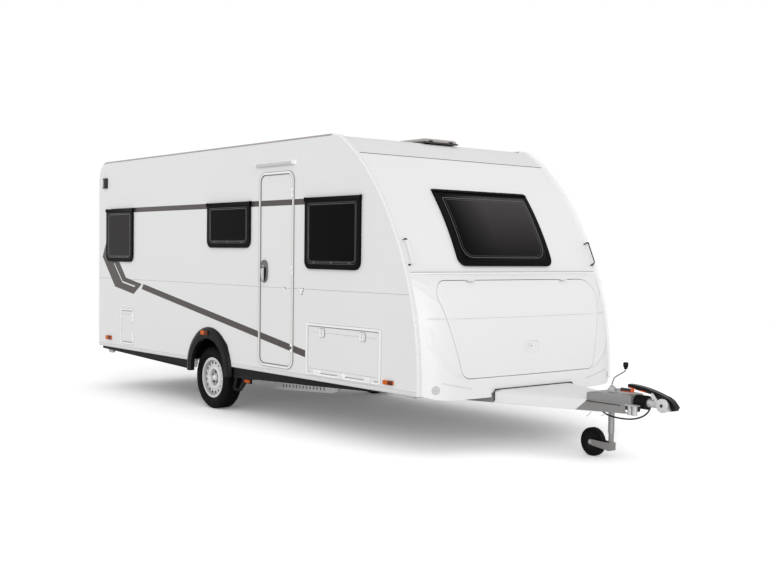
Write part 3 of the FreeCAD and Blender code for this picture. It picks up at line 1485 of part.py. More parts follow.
LEAD = [Vector(4100, -95, 456), Vector(4112, -95, 392), Vector(4180, -90, 352), Vector(4300, -84, 341),
        Vector(4400, -74, 345), Vector(4470, -48, 366), Vector(4508, -12, 405), Vector(4515, 0, 442.4)]
node(shaped("breakaway_lead", pipe(LEAD, 5)))


# Jockey wheel: outer tube with its crank, sliding inner tube, swivelling fork, wheel.

jx = dims.jockey_place
slide_bore = dims.jockey_inner + dims.running_gap
outer_tube = cut("tube_bored", rod(jx, 0, dims.jockey_low, dims.jockey_tube,
                                   dims.jockey_top - dims.jockey_low, "z", "tube"),
                 rod(jx, 0, dims.jockey_low - 1, slide_bore,
                     dims.jockey_top - dims.jockey_low - 4, "z", "tube_bore"))
top = dims.jockey_top.value
crank_x = jx.value
knob_foot = dims.jockey_top + 156
crank = shaped("crank", pipe([Vector(crank_x, 0, top - 2), Vector(crank_x, 0, top + 30),
                              Vector(crank_x + 20, 0, top + 80), Vector(crank_x + 122, 0, top + 138),
                              Vector(crank_x + 128, 0, top + 166)], 5, 14))
collar = rod(jx, 0, dims.jockey_top, 17, 16, "z", "collar")
knob = rod(jx + 128, 0, knob_foot, 13, 52, "z", "knob")
node(fuse("jockey_outer_tube", outer_tube, collar, crank, knob))

hub_level = dims.jockey_wheel
fork_top = hub_level + 15.5
fork_foot = hub_level - 46.5
swivel_radius = 12
slide = cut("jockey_inner_tube", rod(jx, 0, fork_top + 0.5, dims.jockey_inner, 330, "z", "inner_tube"),
            rod(jx, 0, fork_top - 1, swivel_radius + dims.running_gap, 70, "z", "swivel_bore"))
node(slide)

wheel_x = jx - dims.jockey_trail
fork_gap = dims.jockey_wheel_wide / 2 + 5
fork_eye = 22
fork_side = [(wheel_x - fork_eye, hub_level), (wheel_x, hub_level - fork_eye, fork_eye, "left"),
             (jx + 14, fork_foot), (jx + 14, fork_top), (jx - 14, fork_top),
             (wheel_x, hub_level + fork_eye), (wheel_x - fork_eye * 0.7071, hub_level + fork_eye * 0.7071,
                                               fork_eye, "left")]
plates = [prism(SIDE, start, dims.fork_plate, fork_side, name="fork_plate")
          for start in (fork_gap, -fork_gap - dims.fork_plate)]
fork_bridge = box(jx - 14, -fork_gap - 1, fork_foot, 28, fork_gap * 2 + 2, fork_top - fork_foot, "fork_bridge")
swivel = rod(jx, 0, fork_top - 5, swivel_radius, 70, "z", "swivel_pin")
wheel_pin = rod(wheel_x, -fork_gap - dims.fork_plate, dims.jockey_wheel, dims.jockey_pin,
                (fork_gap + dims.fork_plate) * 2, "y", "wheel_pin")
node(fuse("jockey_fork", *plates, fork_bridge, swivel, wheel_pin))

jockey = new_body("jockey_wheel")
jw = dims.jockey_wheel_wide / 2
bore = dims.jockey_pin + dims.running_gap
turned(jockey, FRONT, wheel_x, dims.jockey_wheel, [
    (-jw, bore), (jw, bore), (jw, 38), (jw - 6, 38), (jw - 6, dims.jockey_wheel - 5),
    (jw - 11, dims.jockey_wheel), (-jw + 11, dims.jockey_wheel), (-jw + 6, dims.jockey_wheel - 5),
    (-jw + 6, 38), (-jw, 38)])
node(jockey)


# Corner steadies: brackets with pins under the floor, legs stowed level.

LEG_PLACES = {
    "steady_front_right": (dims.steady_front, -1, 1),
    "steady_front_left": (dims.steady_front, 1, 1),
    "steady_rear_right": (rear_face + dims.steady_rear_inset, -1, -1),
    "steady_rear_left": (rear_face + dims.steady_rear_inset, 1, -1),
}
ear = 6
ear_gap = 0.5
brackets = []
for name, (place, side, way) in LEG_PLACES.items():
    middle = steady_line * side
    outside = dims.steady_wide / 2 + ear_gap
    pin = rod(place, middle - outside - ear, dims.steady_pivot, dims.steady_pin,
              (outside + ear) * 2, "y", "steady_pin")
    ears = [box(place - 24, middle + s * 1.0 * outside - (ear if s < 0 else 0),
                dims.steady_pivot - 20, 48, ear, dims.floor_low - dims.steady_pivot + 20, "steady_ear")
            for s in (-1, 1)]
    brackets.append(fuse("steady_bracket", pin, *ears))
node(group("steady_brackets", *brackets))

for name, (place, side, way) in LEG_PLACES.items():
    middle = steady_line * side
    wide = dims.steady_wide
    eye = rod(place, middle - wide / 2, dims.steady_pivot, 18, wide, "y", "leg_eye")
    start = place if way > 0 else place - dims.steady_leg
    bar = box(start - 3 if way > 0 else start + 5, middle - wide / 2, dims.steady_pivot - 14,
              dims.steady_leg - 2, wide, 28, "leg_bar")
    channel = box(start + 30, middle - wide / 2 + 4, dims.steady_pivot - 20,
                  dims.steady_leg - 60, wide - 8, 30, "leg_channel")
    foot = rod(place + dims.steady_leg * way, middle - 45, dims.steady_pivot, 15, 90, "y", "leg_foot")
    hole = rod(place, middle - wide, dims.steady_pivot, dims.steady_pin + dims.running_gap,
               wide * 2, "y", "leg_hole")
    node(cut(name, fuse("leg_solid", bar, eye, foot), channel, hole))


# Axle, swing arms with stub axles, and the road wheels.

axle_end = tyre_face - dims.tyre_width - 58
node(group("axle_beam", rod(dims.axle_ahead, -axle_end, dims.axle_level, dims.axle_tube,
                            axle_end * 2, "y", "axle_tube_bar")))

arm_thick = 32
flange_out = tyre_face - 21
disc_out = flange_out - dims.disc_inset
drum_out = disc_out - dims.rim_steel - dims.seat_gap
drum_in = drum_out - dims.drum_depth
stub_reach = drum_out - 8
ax = dims.axle_ahead
az = dims.axle_level
eye_low = 45
eye_big = 62
swing = prism(SIDE, axle_end, arm_thick, [
    (0, axle_high + eye_low), (-eye_low, axle_high, eye_low, "left"),
    (0, axle_high - eye_low, eye_low, "left"), (ax, az - eye_big),
    (ax + eye_big, az, eye_big, "left"), (ax, az + eye_big, eye_big, "left")], name="swing_arm")
stub = rod(0, -stub_reach, axle_high, dims.stub_radius, stub_reach - axle_end - 5, "y", "stub_axle")
shield = rod(0, -drum_in - 1, axle_high, dims.drum_radius - 16, 4, "y", "brake_shield")
node(pair("swing_arms", fuse("swing_arm_right", swing, stub, shield)))


def wheel_pieces(side):
    """Tyre, pressed rim and brake drum of one side, turned about the wheel's axle."""
    name = "right" if side < 0 else "left"
    face = tyre_face
    wide = dims.tyre_width
    top = dims.tyre_radius
    seat = dims.rim_radius + dims.seat_gap

    def across(path):
        """Places are given from the outer side inwards, for the left-hand side."""
        if side > 0:
            return path
        turned_over = {"left": "right", "right": "left"}
        placed = []
        for c in path:
            arc = (c[2], turned_over[c[3]]) if len(c) == 4 else ()
            placed.append((-1 * c[0], c[1]) + arc)
        return backwards(placed)

    bead = (wide - dims.rim_width) / 2 + 7 + dims.seat_gap
    lip = dims.rim_flange
    tyre = new_body("tyre_" + name)
    outer = face
    inner = face - wide
    turned(tyre, FRONT, 0, axle_high, across([
        (outer - bead, seat), (outer - bead, lip + 3), (outer, lip + 3), (outer, top - 23),
        (outer - 9, top - 9), (outer - 22, top), (inner + 12, top), (inner, top - 11),
        (inner, lip + 3), (inner + bead, lip + 3), (inner + bead, seat)]))
    node(tyre)

    rim = new_body("rim_" + name)
    steel = dims.rim_steel
    seat_r = dims.rim_radius
    back = flange_out - dims.rim_width
    well = seat_r - 22
    turned(rim, FRONT, 0, axle_high, across([
        (flange_out, lip), (flange_out - 4, lip), (flange_out - 7, seat_r), (flange_out - 34, seat_r),
        (flange_out - 46, well), (back + 46, well), (back + 34, seat_r), (back + 7, seat_r),
        (back + 4, lip), (back, lip), (back, seat_r - steel), (back + 32, seat_r - steel),
        (back + 44, well - steel), (disc_out - 21, well - steel), (disc_out - 12, 136),
        (disc_out + 11, 115), (disc_out + 11, 98), (disc_out - steel, 72), (disc_out - steel, 31),
        (disc_out, 31), (disc_out, 70), (disc_out + 16, 96), (disc_out + 16, 118), (disc_out - 8, 138),
        (disc_out - 16, well - steel), (flange_out - 44, well - steel),
        (flange_out - 32, seat_r - steel), (flange_out, seat_r - steel)]))
    hole = rim.newObject("PartDesign::Pocket", "hand_hole_" + name)
    hole.Profile = sketch_on(rim, SIDE, -side * disc_out,
                             [rounded(size_of(-14), size_of(116), size_of(14), size_of(138), 10.5)], axle_high)
    hole.Midplane = True
    hole.Length = 80
    holes_round = rim.newObject("PartDesign::PolarPattern", "hand_holes_" + name)
    holes_round.Originals = [hole]
    holes_round.Axis = (hole.Profile[0], ["N_Axis"])
    holes_round.Angle = 360
    bind(holes_round, "Occurrences", dims.hand_holes)
    rim.Tip = holes_round
    node(rim)

    drum = new_body("drum_" + name)
    bore = dims.stub_radius + dims.running_gap
    outer = drum_out
    inner = drum_in
    big = dims.drum_radius
    turned(drum, FRONT, 0, axle_high, across([
        (outer, 29), (outer + 34, 29), (outer + 42, 22), (outer + 42, 0), (outer - 7, 0),
        (outer - 7, bore), (inner + 6, bore), (inner + 6, 40), (outer - 12, 44), (outer - 12, big - 10),
        (inner - 3, big - 10), (inner - 3, big), (outer, big)]))
    node(drum)


for side in (-1, 1):
    wheel_pieces(side)


# Bring every sub-part to its place, check it and write it.

nose_x = nose_reach
tail_x = rear_face - dims.tail_proud - dims.lamp_proud
axle_x = -(nose_x + tail_x) / 2
doc.recompute()
for thing in NODES:
    bind(thing, "Placement.Base.x", axle_x)
doc.recompute()

faults = []
for thing in doc.Objects:
    if "Invalid" in thing.State or "Error" in thing.State:
        faults.append(thing.Label + " " + str(thing.State))
for thing in NODES:
    if thing.Shape.isNull() or not thing.Shape.isValid() or not thing.Shape.Solids:
        faults.append(thing.Label + " has no sound solid")
if faults:
    raise SystemExit("\n".join(faults))

os.makedirs("parts", exist_ok=True)
for thing in NODES:
    thing.Shape.exportStep("parts/%s.step" % thing.Label)
box_all = FreeCAD.BoundBox()
for thing in NODES:
    box_all.add(thing.Shape.BoundBox)
print("nodes", len(NODES), "box", box_all)
print("axle at x", round(axle_x.value, 3))
print("lid axis", round(lid_axis_x.value, 3), round(lid_axis_z.value, 3), "belt", round(belt_high.value, 3))
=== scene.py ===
"""Looks of a travel caravan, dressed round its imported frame. Metres throughout."""
import math

import bmesh
import bpy
from mathutils import Matrix, Vector
from mathutils.bvhtree import BVHTree


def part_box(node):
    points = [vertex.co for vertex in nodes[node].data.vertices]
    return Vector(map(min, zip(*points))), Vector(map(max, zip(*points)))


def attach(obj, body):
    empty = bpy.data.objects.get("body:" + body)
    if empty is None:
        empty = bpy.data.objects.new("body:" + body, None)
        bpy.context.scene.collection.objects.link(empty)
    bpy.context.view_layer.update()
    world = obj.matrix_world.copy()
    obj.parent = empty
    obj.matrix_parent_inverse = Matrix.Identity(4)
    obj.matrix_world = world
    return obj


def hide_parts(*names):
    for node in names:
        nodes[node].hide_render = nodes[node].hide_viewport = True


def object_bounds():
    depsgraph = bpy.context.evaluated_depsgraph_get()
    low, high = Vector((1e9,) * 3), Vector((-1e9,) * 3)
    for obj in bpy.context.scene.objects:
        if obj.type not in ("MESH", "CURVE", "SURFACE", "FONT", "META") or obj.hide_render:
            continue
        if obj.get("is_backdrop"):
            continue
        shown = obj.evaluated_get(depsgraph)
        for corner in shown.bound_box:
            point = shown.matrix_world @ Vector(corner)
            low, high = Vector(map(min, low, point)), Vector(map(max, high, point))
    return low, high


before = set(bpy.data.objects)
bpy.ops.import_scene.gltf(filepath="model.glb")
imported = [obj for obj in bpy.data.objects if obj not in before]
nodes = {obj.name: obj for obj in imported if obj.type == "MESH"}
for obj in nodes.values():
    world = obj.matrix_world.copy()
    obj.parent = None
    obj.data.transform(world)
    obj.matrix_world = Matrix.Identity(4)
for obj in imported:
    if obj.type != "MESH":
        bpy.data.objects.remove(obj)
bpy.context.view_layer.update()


# Studio: a white floor that runs into a white surround, a broad soft sun from the front
# corner, and the camera at the height of a standing person. Places are measured from the
# wheel line, as a caravan fitter does; the frame's own origin lies ahead of it.

WHEEL_LINE = (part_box("tyre_right")[0].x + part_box("tyre_right")[1].x) / 2


def here(x, y, z):
    return Vector((x + WHEEL_LINE, y, z))


def put(name, data):
    """A new object in the scene, at the origin."""
    thing = bpy.data.objects.new(name, data)
    bpy.context.scene.collection.objects.link(thing)
    return thing


class Signal:
    """One output of a node; sums on it add the nodes they need."""

    def __init__(self, graph, output):
        self.graph = graph
        self.output = output

    def sum(self, operation, *others):
        return self.graph.add("Math", {"operation": operation}, dict(enumerate(others)))

    def __add__(self, other):
        return self.sum("ADD", self, other)

    def __sub__(self, other):
        return self.sum("SUBTRACT", self, other)

    def __rsub__(self, other):
        return self.sum("SUBTRACT", other, self)

    def __mul__(self, other):
        return self.sum("MULTIPLY", self, other)

    def __truediv__(self, other):
        return self.sum("DIVIDE", self, other)

    def __gt__(self, other):
        return self.sum("GREATER_THAN", self, other)

    def __lt__(self, other):
        return self.sum("LESS_THAN", self, other)

    def __and__(self, other):
        return self.sum("MULTIPLY", self, other)

    def __or__(self, other):
        return self.sum("MAXIMUM", self, other)

    def __mod__(self, other):
        return self.sum("FLOORED_MODULO", self, other)

    def size(self):
        return self.sum("ABSOLUTE", self)

    def root(self):
        return self.sum("SQRT", self)

    def step(self, low, high):
        """0 below low and 1 above high, straight between."""
        return self.graph.add("MapRange", {}, {"Value": self, "From Min": low, "From Max": high})

    def near(self, place, width):
        """1 within half the width of a place, 0 outside."""
        return (self - place).size() < width / 2

    __radd__ = __add__
    __rmul__ = __mul__


class Graph:
    """A node tree with one method for adding any node to it."""

    def __init__(self, tree):
        self.tree = tree

    def add(self, kind, settings, values, output=0):
        full = kind if kind.startswith("Geometry") else "ShaderNode" + kind
        node = self.tree.nodes.new(full)
        for key, value in settings.items():
            setattr(node, key, value)
        for key, value in values.items():
            self.feed(node.inputs[key], value)
        return Signal(self, node.outputs[output])

    def feed(self, socket, value):
        if isinstance(value, Signal):
            self.tree.links.new(value.output, socket)
        elif isinstance(value, tuple) and len(value) == 3 and len(socket.default_value) == 4:
            socket.default_value = (*value, 1)
        else:
            socket.default_value = value


class Finish(Graph):
    """A material round one Principled shader. The flat colour and roughness that it starts
    with stand for it where a program can't follow its nodes."""

    def __init__(self, name, colour, roughness, metallic=0.0, **constants):
        self.material = bpy.data.materials.new(name)
        self.material.use_nodes = True
        super().__init__(self.material.node_tree)
        self.shader = self.tree.nodes["Principled BSDF"]
        self.set(Base_Color=colour, Roughness=roughness, Metallic=metallic, **constants)

    def set(self, **values):
        for key, value in values.items():
            self.feed(self.shader.inputs[key.replace("_", " ")], value)
        return self

    def coordinates(self):
        return self.add("TexCoord", {}, {}, "Object")

    def place(self):
        """Object coordinates as three signals, with x measured from the wheel line."""
        apart = self.add("SeparateXYZ", {}, {0: self.coordinates()})
        x, y, z = [Signal(self, output) for output in apart.output.node.outputs]
        return x - WHEEL_LINE, y, z

    def noise(self, scale, detail=3.0, stretch=None):
        where = self.coordinates()
        if stretch:
            where = self.add("Mapping", {}, {"Vector": where, "Scale": stretch})
        return self.add("TexNoise", {}, {"Vector": where, "Scale": scale, "Detail": detail}, "Fac")

    def mix(self, share, low, high):
        """Colour low where share is 0 and high where it is 1."""
        return self.add("Mix", {"data_type": "RGBA"}, {0: share, 6: low, 7: high}, 2)

    def mottle(self, scale, low, high):
        """Colour that drifts between two shades, in patches as large as the scale sets."""
        return self.set(Base_Color=self.mix(self.noise(scale), low, high))

    def roughen(self, scale, swing, least):
        """Roughness that drifts between least and least + swing."""
        return self.set(Roughness=self.noise(scale) * swing + least)

    def bump(self, height, strength, distance):
        sizes = {"Height": height, "Strength": strength, "Distance": distance}
        return self.set(Normal=self.add("Bump", {}, sizes))

    def grain(self, scale, strength, distance):
        """Fine unevenness of a cast or moulded surface."""
        return self.bump(self.noise(scale), strength, distance)

    def coat(self, *names):
        """Give the finish to CAD nodes, in place of their plain material."""
        for name in names:
            slots = nodes[name].data.materials
            if not len(slots):
                slots.append(self.material)
            for i in range(len(slots)):
                slots[i] = self.material


PAGE_WHITE = (1, 1, 1)
FLOOR_HALF = 90.0
FLOOR_FADE = (7.0, 15.0)
# The nose lift is painted light on the floor, strongest ahead of the nose.
FLOOR_LIFT, NOSE_PAINTED_LIGHT = 0.075, 0.09
floor_mesh = bpy.data.meshes.new("studio_floor")
floor_mesh.from_pydata([(-FLOOR_HALF, -FLOOR_HALF, 0), (FLOOR_HALF, -FLOOR_HALF, 0),
                        (FLOOR_HALF, FLOOR_HALF, 0), (-FLOOR_HALF, FLOOR_HALF, 0)], [], [(0, 1, 2, 3)])
studio_floor = put("studio_floor", floor_mesh)
floor_finish = Finish("studio_floor", (0.90, 0.90, 0.90), 0.9, Specular_IOR_Level=0.0)
floor_x, floor_y, _ = floor_finish.place()
distance = (floor_x * floor_x + floor_y * floor_y).root()
seen = floor_finish.add("LightPath", {}, {}, "Is Camera Ray")
page = floor_finish.add("Emission", {}, {"Color": PAGE_WHITE, "Strength": 1.0})
lit = Signal(floor_finish, floor_finish.shader.outputs[0])
paler = floor_finish.add("BsdfDiffuse", {}, {"Color": (0.36, 0.36, 0.36)})
# Painted light on the floor as the camera sees it: an even glow, plus a second one that ramps up from
# behind the wheels to ahead of the nose and lightens the shadow under the front.
floor_glow_and_painted_light = floor_x.step(-1.5, 3.5) * NOSE_PAINTED_LIGHT + FLOOR_LIFT
lift = floor_finish.add("Emission", {}, {"Color": PAGE_WHITE, "Strength": floor_glow_and_painted_light})
lifted = floor_finish.add("AddShader", {}, {0: paler, 1: lift})
close_by = floor_finish.add("AddShader", {}, {0: lit, 1: lifted})
shown_floor = floor_finish.add("MixShader", {}, {0: distance.step(*FLOOR_FADE), 1: close_by, 2: page})
faded = floor_finish.add("MixShader", {}, {0: seen, 1: lit, 2: shown_floor})
floor_finish.feed(floor_finish.tree.nodes["Material Output"].inputs[0], faded)
floor_mesh.materials.append(floor_finish.material)
studio_floor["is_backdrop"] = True

SURROUND_LIGHT = 0.72
world = bpy.data.worlds.new("studio")
world.use_nodes = True
bpy.context.scene.world = world
surround = Graph(world.node_tree)
ray = surround.add("LightPath", {}, {}, "Is Camera Ray").output.node
shown = Signal(surround, ray.outputs["Is Camera Ray"])
for kind in ("Is Glossy Ray", "Is Transmission Ray"):
    shown = shown | Signal(surround, ray.outputs[kind])
soft_white = surround.add("Background", {}, {0: PAGE_WHITE, 1: SURROUND_LIGHT})
page_white = surround.add("Background", {}, {0: PAGE_WHITE, 1: 1.0})
surround.feed(surround.tree.nodes["World Output"].inputs[0],
              surround.add("MixShader", {}, {0: shown, 1: soft_white, 2: page_white}))

SUN_FROM = (0.78, -0.56, 0.14)
sun = bpy.data.lights.new("corner_sun", "SUN")
sun.energy = 1.62
sun.angle = math.radians(60)
put("corner_sun", sun).rotation_euler = Vector(SUN_FROM).to_track_quat("Z", "Y").to_euler()

LENS_MM = 51.38
EYE = (9.574, -6.76, 1.578)
YAW, PITCH, ROLL = (math.radians(a) for a in (140.51, -1.88, 0.66))
ahead = Vector((math.cos(PITCH) * math.cos(YAW), math.cos(PITCH) * math.sin(YAW), math.sin(PITCH)))
level_right = ahead.cross(Vector((0, 0, 1))).normalized()
level_up = level_right.cross(ahead)
camera_right = level_right * math.cos(ROLL) + level_up * math.sin(ROLL)
camera_up = level_up * math.cos(ROLL) - level_right * math.sin(ROLL)
camera_data = bpy.data.cameras.new("photographer")
camera_data.lens = LENS_MM
camera_data.sensor_width = 36
camera = put("photographer", camera_data)
turned = Matrix((camera_right, camera_up, -ahead)).transposed().to_4x4()
camera.matrix_world = Matrix.Translation(here(*EYE)) @ turned
bpy.context.scene.camera = camera
bpy.context.scene.view_settings.view_transform = "Standard"


# Chassis: hot-dip galvanised pressed rails, bolted cross members and A-frame arms. The
# frame's own solids keep their shape; pairs of bolt heads are added where members cross.

class Form:
    """Mesh of one piece while it is made, in places measured from the wheel line."""

    def __init__(self):
        self.bm = bmesh.new()

    def loop(self, places):
        return [self.bm.verts.new(place) for place in places]

    def skin(self, rows, closed=True, capped=False):
        """Join rows of points, each row round one section, and close their ends."""
        runs = zip(rows, rows[1:] + rows[:1] if closed else rows[1:])
        for row, following in runs:
            for j in range(len(row)):
                k = (j + 1) % len(row)
                self.bm.faces.new((row[j], row[k], following[k], following[j]))
        if capped:
            self.bm.faces.new(rows[0])
            self.bm.faces.new(rows[-1])
        return self

    def block(self, low, high, soften=0.0):
        """Block between two corners, its edges rounded off."""
        low, high = Vector(low), Vector(high)
        made = bmesh.ops.create_cube(self.bm, size=1.0)["verts"]
        for vert in made:
            place = [low[i] if vert.co[i] < 0 else high[i] for i in range(3)]
            vert.co = here(*place)
        if soften:
            self.round_off([edge for vert in made for edge in vert.link_edges], soften)
        return self

    def round_off(self, edges, soften):
        """Bevel the edges, each taken once and in the order given."""
        bmesh.ops.bevel(self.bm, geom=list(dict.fromkeys(edges)), offset=soften, segments=2,
                        profile=0.6, affect="EDGES")

    def prism(self, outline, near, far, lay, soften=0.0):
        """Flat outline raised from one level to another; lay(u, v, level) gives its place."""
        rows = [self.loop([lay(u, v, level) for u, v in outline]) for level in (near, far)]
        self.skin(rows, closed=False, capped=True)
        if soften:
            self.round_off([edge for row in rows for vert in row for edge in vert.link_edges
                            if edge.other_vert(vert) in row], soften)
        return self

    def rod(self, start, end, radius, sides=20, end_radius=None):
        return self.sweep([start, end], [radius, end_radius or radius], sides)

    def sweep(self, route, radii, sides=12):
        """Round bar along a route, with one radius or one for each point."""
        places = [here(*place) for place in route]
        if not isinstance(radii, list):
            radii = [radii] * len(places)
        rows = []
        across = None
        for i, place in enumerate(places):
            ahead_of = places[min(i + 1, len(places) - 1)] - places[max(i - 1, 0)]
            along = ahead_of.normalized()
            if across is None:
                across = along.orthogonal().normalized()
            across = (across - along * across.dot(along)).normalized()
            up = along.cross(across)
            rows.append(self.loop([place + (across * math.cos(t) + up * math.sin(t)) * radii[i]
                                   for t in (math.tau * j / sides for j in range(sides))]))
        return self.skin(rows, closed=False, capped=True)

    def lathe(self, profile, lay, sides=72):
        """Turn a closed profile of (along, radius); lay(along, across, up) gives its place."""
        rows = [self.loop([lay(a, r * math.cos(t), r * math.sin(t)) for a, r in profile])
                for t in (math.tau * i / sides for i in range(sides))]
        return self.skin(rows)

    def moulding(self, path, section, lay):
        """Run a closed section of (outwards, raised) round a closed outline."""
        rows = []
        for i, (u, v) in enumerate(path):
            before, after = path[i - 1], path[(i + 1) % len(path)]
            along = Vector((after[0] - before[0], after[1] - before[1])).normalized()
            rows.append(self.loop([lay(u + along.y * w, v - along.x * w, h) for w, h in section]))
        return self.skin(rows)

    def mesh(self, name, crease=35):
        bmesh.ops.remove_doubles(self.bm, verts=self.bm.verts, dist=1e-6)
        bmesh.ops.recalc_face_normals(self.bm, faces=self.bm.faces)
        mesh = bpy.data.meshes.new(name)
        self.bm.to_mesh(mesh)
        mesh.shade_smooth()
        mesh.set_sharp_from_angle(angle=math.radians(crease))
        return mesh

    def piece(self, name, finish, body="caravan", slot=None, stands_for=()):
        return settle(name, self.mesh(name), finish, body, stands_for)


def settle(name, mesh, finish, body, stands_for=()):
    """Give a mesh its finish and its place in the frame."""
    mesh.materials.clear()
    mesh.materials.append(finish.material)
    thing = put(name, mesh)
    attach(thing, body)
    for node in stands_for:
        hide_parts(node)
    return thing


class Repeat(Graph):
    """Geometry nodes that set out copies of one small form along a line or round a circle."""

    def __init__(self, name, shape):
        super().__init__(bpy.data.node_groups.new(name, "GeometryNodeTree"))
        face = self.tree.interface
        self.keys = {}
        sizes = {"Form": "Object", "Finish": "Material", "Count": "Int"}
        sizes["Step" if shape == "line" else "Radius"] = "Vector" if shape == "line" else "Float"
        for label, kind in sizes.items():
            self.keys[label] = face.new_socket(label, in_out="INPUT",
                                               socket_type="NodeSocket" + kind).identifier
        face.new_socket("Mesh", in_out="OUTPUT", socket_type="NodeSocketGeometry")
        given = self.tree.nodes.new("NodeGroupInput")
        value = {label: Signal(self, given.outputs[label]) for label in sizes}
        form = self.add("GeometryNodeObjectInfo", {}, {"Object": value["Form"]}, "Geometry")
        if shape == "line":
            points = self.add("GeometryNodeMeshLine", {"mode": "OFFSET"},
                              {"Count": value["Count"], "Offset": value["Step"]})
            copies = self.add("GeometryNodeInstanceOnPoints", {}, {"Points": points, "Instance": form})
        else:
            points = self.add("GeometryNodeMeshCircle", {},
                              {"Vertices": value["Count"], "Radius": value["Radius"]})
            turn = self.add("GeometryNodeInputIndex", {}, {}) * math.tau / value["Count"]
            turned = self.add("CombineXYZ", {}, {"Z": turn})
            copies = self.add("GeometryNodeInstanceOnPoints", {},
                              {"Points": points, "Instance": form, "Rotation": turned})
        whole = self.add("GeometryNodeRealizeInstances", {}, {"Geometry": copies})
        coated = self.add("GeometryNodeSetMaterial", {}, {"Geometry": whole, "Material": value["Finish"]})
        self.feed(self.tree.nodes.new("NodeGroupOutput").inputs[0], coated)

    def made(self, form, finish, moved, **sizes):
        """The copies as one plain mesh, moved to its place by a matrix."""
        one = put("one", form.mesh("one"))
        holder = put("row", bpy.data.meshes.new("row"))
        growth = holder.modifiers.new("growth", "NODES")
        growth.node_group = self.tree
        for label, value in dict(Form=one, Finish=finish.material, **sizes).items():
            growth[self.keys[label]] = value
        seen_now = bpy.context.evaluated_depsgraph_get()
        mesh = bpy.data.meshes.new_from_object(holder.evaluated_get(seen_now))
        mesh.transform(moved)
        for thing in (one, holder):
            bpy.data.objects.remove(thing)
        return mesh


in_line = Repeat("in_line", "line")
in_circle = Repeat("in_circle", "circle")


def joined(name, meshes, finish, body, stands_for=()):
    """Several meshes as one piece."""
    whole = bmesh.new()
    for mesh in meshes:
        whole.from_mesh(mesh)
    mesh = bpy.data.meshes.new(name)
    whole.to_mesh(mesh)
    return settle(name, mesh, finish, body, stands_for)


def local(*place):
    """A place in a small form's own space, as here() would give it."""
    return place[0] - WHEEL_LINE, place[1], place[2]


def upright(axis):
    """Turn that lays a form made along z along another axis."""
    return Vector((0, 0, 1)).rotation_difference(Vector(axis)).to_matrix().to_4x4()


def on_side(side):
    """Lay for outlines (along, up) seen from one side, with levels counted outwards."""
    return lambda u, v, h: here(u, side * h, v)


def around(x, z, side=1):
    """Lay for profiles turned about an axle across the vehicle."""
    return lambda a, c, u: here(x + c, side * a, z + u)


RIGHT, LEFT = -1, 1
SIDES = ((RIGHT, "right"), (LEFT, "left"))

zinc = Finish("zinc", (0.55, 0.56, 0.57), 0.42, metallic=0.55)
spangle = zinc.add("TexVoronoi", {}, {"Vector": zinc.coordinates(), "Scale": 55.0}, "Color")
grey = zinc.add("RGBToBW", {}, {0: spangle})
clouds = zinc.noise(7.0)
zinc.set(Base_Color=zinc.mix(grey * 0.5 + clouds * 0.5, (0.40, 0.41, 0.42), (0.70, 0.70, 0.70)),
         Roughness=grey * 0.2 + clouds * 0.2 + 0.28)
zinc.coat("cross_members", "drawtube", "steady_brackets", "steady_front_right", "steady_front_left",
          "steady_rear_right", "steady_rear_left", "axle_beam")
dull_zinc = Finish("dull_zinc", (0.26, 0.25, 0.25), 0.42, metallic=0.5, Specular_IOR_Level=0.3)
clouds = dull_zinc.noise(7.0) * 0.5 + dull_zinc.noise(90.0) * 0.5
dull_zinc.set(Base_Color=dull_zinc.mix(clouds, (0.19, 0.185, 0.18), (0.36, 0.35, 0.345)),
              Roughness=clouds * 0.25 + 0.28)
dull_zinc.coat("drawbar_arms", "jockey_inner_tube", "jockey_fork")

# A paler copy of the zinc for the rails and their stiffeners. Its extra brightness is painted light,
# standing for the white floor's reflection on parts that sit in the body's shade.
rail_zinc = Finish("rail_zinc", (0.80, 0.80, 0.79), 0.45, metallic=0.15)
rail_zinc.mottle(24.0, (0.68, 0.68, 0.67), (0.90, 0.90, 0.89)).roughen(30.0, 0.15, 0.36)
rail_zinc.coat("chassis_rails")

black_plastic = Finish("black_plastic", (0.009, 0.009, 0.010), 0.5, Specular_IOR_Level=0.10)
black_plastic.roughen(30.0, 0.12, 0.40)
black_plastic.grain(700.0, 0.18, 0.0003)

HEX = 0.0095
BOLT_PITCH = 0.032
CROSS_MEMBERS = (-2.355, -1.535, 1.185, 2.265)
RAIL_FACE, RAIL_MIDDLE = 0.700, 0.441
bolt_head = Form().rod(local(0, 0, 0), local(0, 0, 0.002), HEX * 1.35)
bolt_head.rod(local(0, 0, 0.002), local(0, 0, 0.0085), HEX, sides=6)
bolt_pairs = []
for side in (RIGHT, LEFT):
    for x in CROSS_MEMBERS:
        first = Matrix.Translation(here(x - BOLT_PITCH / 2, side * RAIL_FACE, RAIL_MIDDLE))
        pair = in_line.made(bolt_head, zinc, first @ upright((0, side, 0)), Count=2,
                            Step=(BOLT_PITCH, 0.0, 0.0))
        bolt_pairs.append(pair)
joined("rail_bolts", bolt_pairs, zinc, "caravan")


# Jacking brackets: strips of bent plate, painted black and bolted up under the skirts ahead
# of the wheels. An amber reflector of moulded prisms is fixed to the foot of each one.

BRACKET_STRIPS = [
    [(0.455, 0.252), (0.478, 0.246), (0.528, 0.376), (0.497, 0.376)],
    [(0.455, 0.255), (0.470, 0.236), (0.568, 0.232), (0.578, 0.256)],
    [(0.545, 0.241), (0.578, 0.236), (0.668, 0.316), (0.622, 0.342)],
    [(0.600, 0.376), (0.622, 0.326), (0.765, 0.320), (0.765, 0.376)],
]


def chequer(a, b, pitch):
    """Rows of small prisms both ways, as lenses have on their inner face."""
    return ((a % pitch) > pitch / 2) * 0.5 + ((b % pitch) > pitch / 2) * 0.5


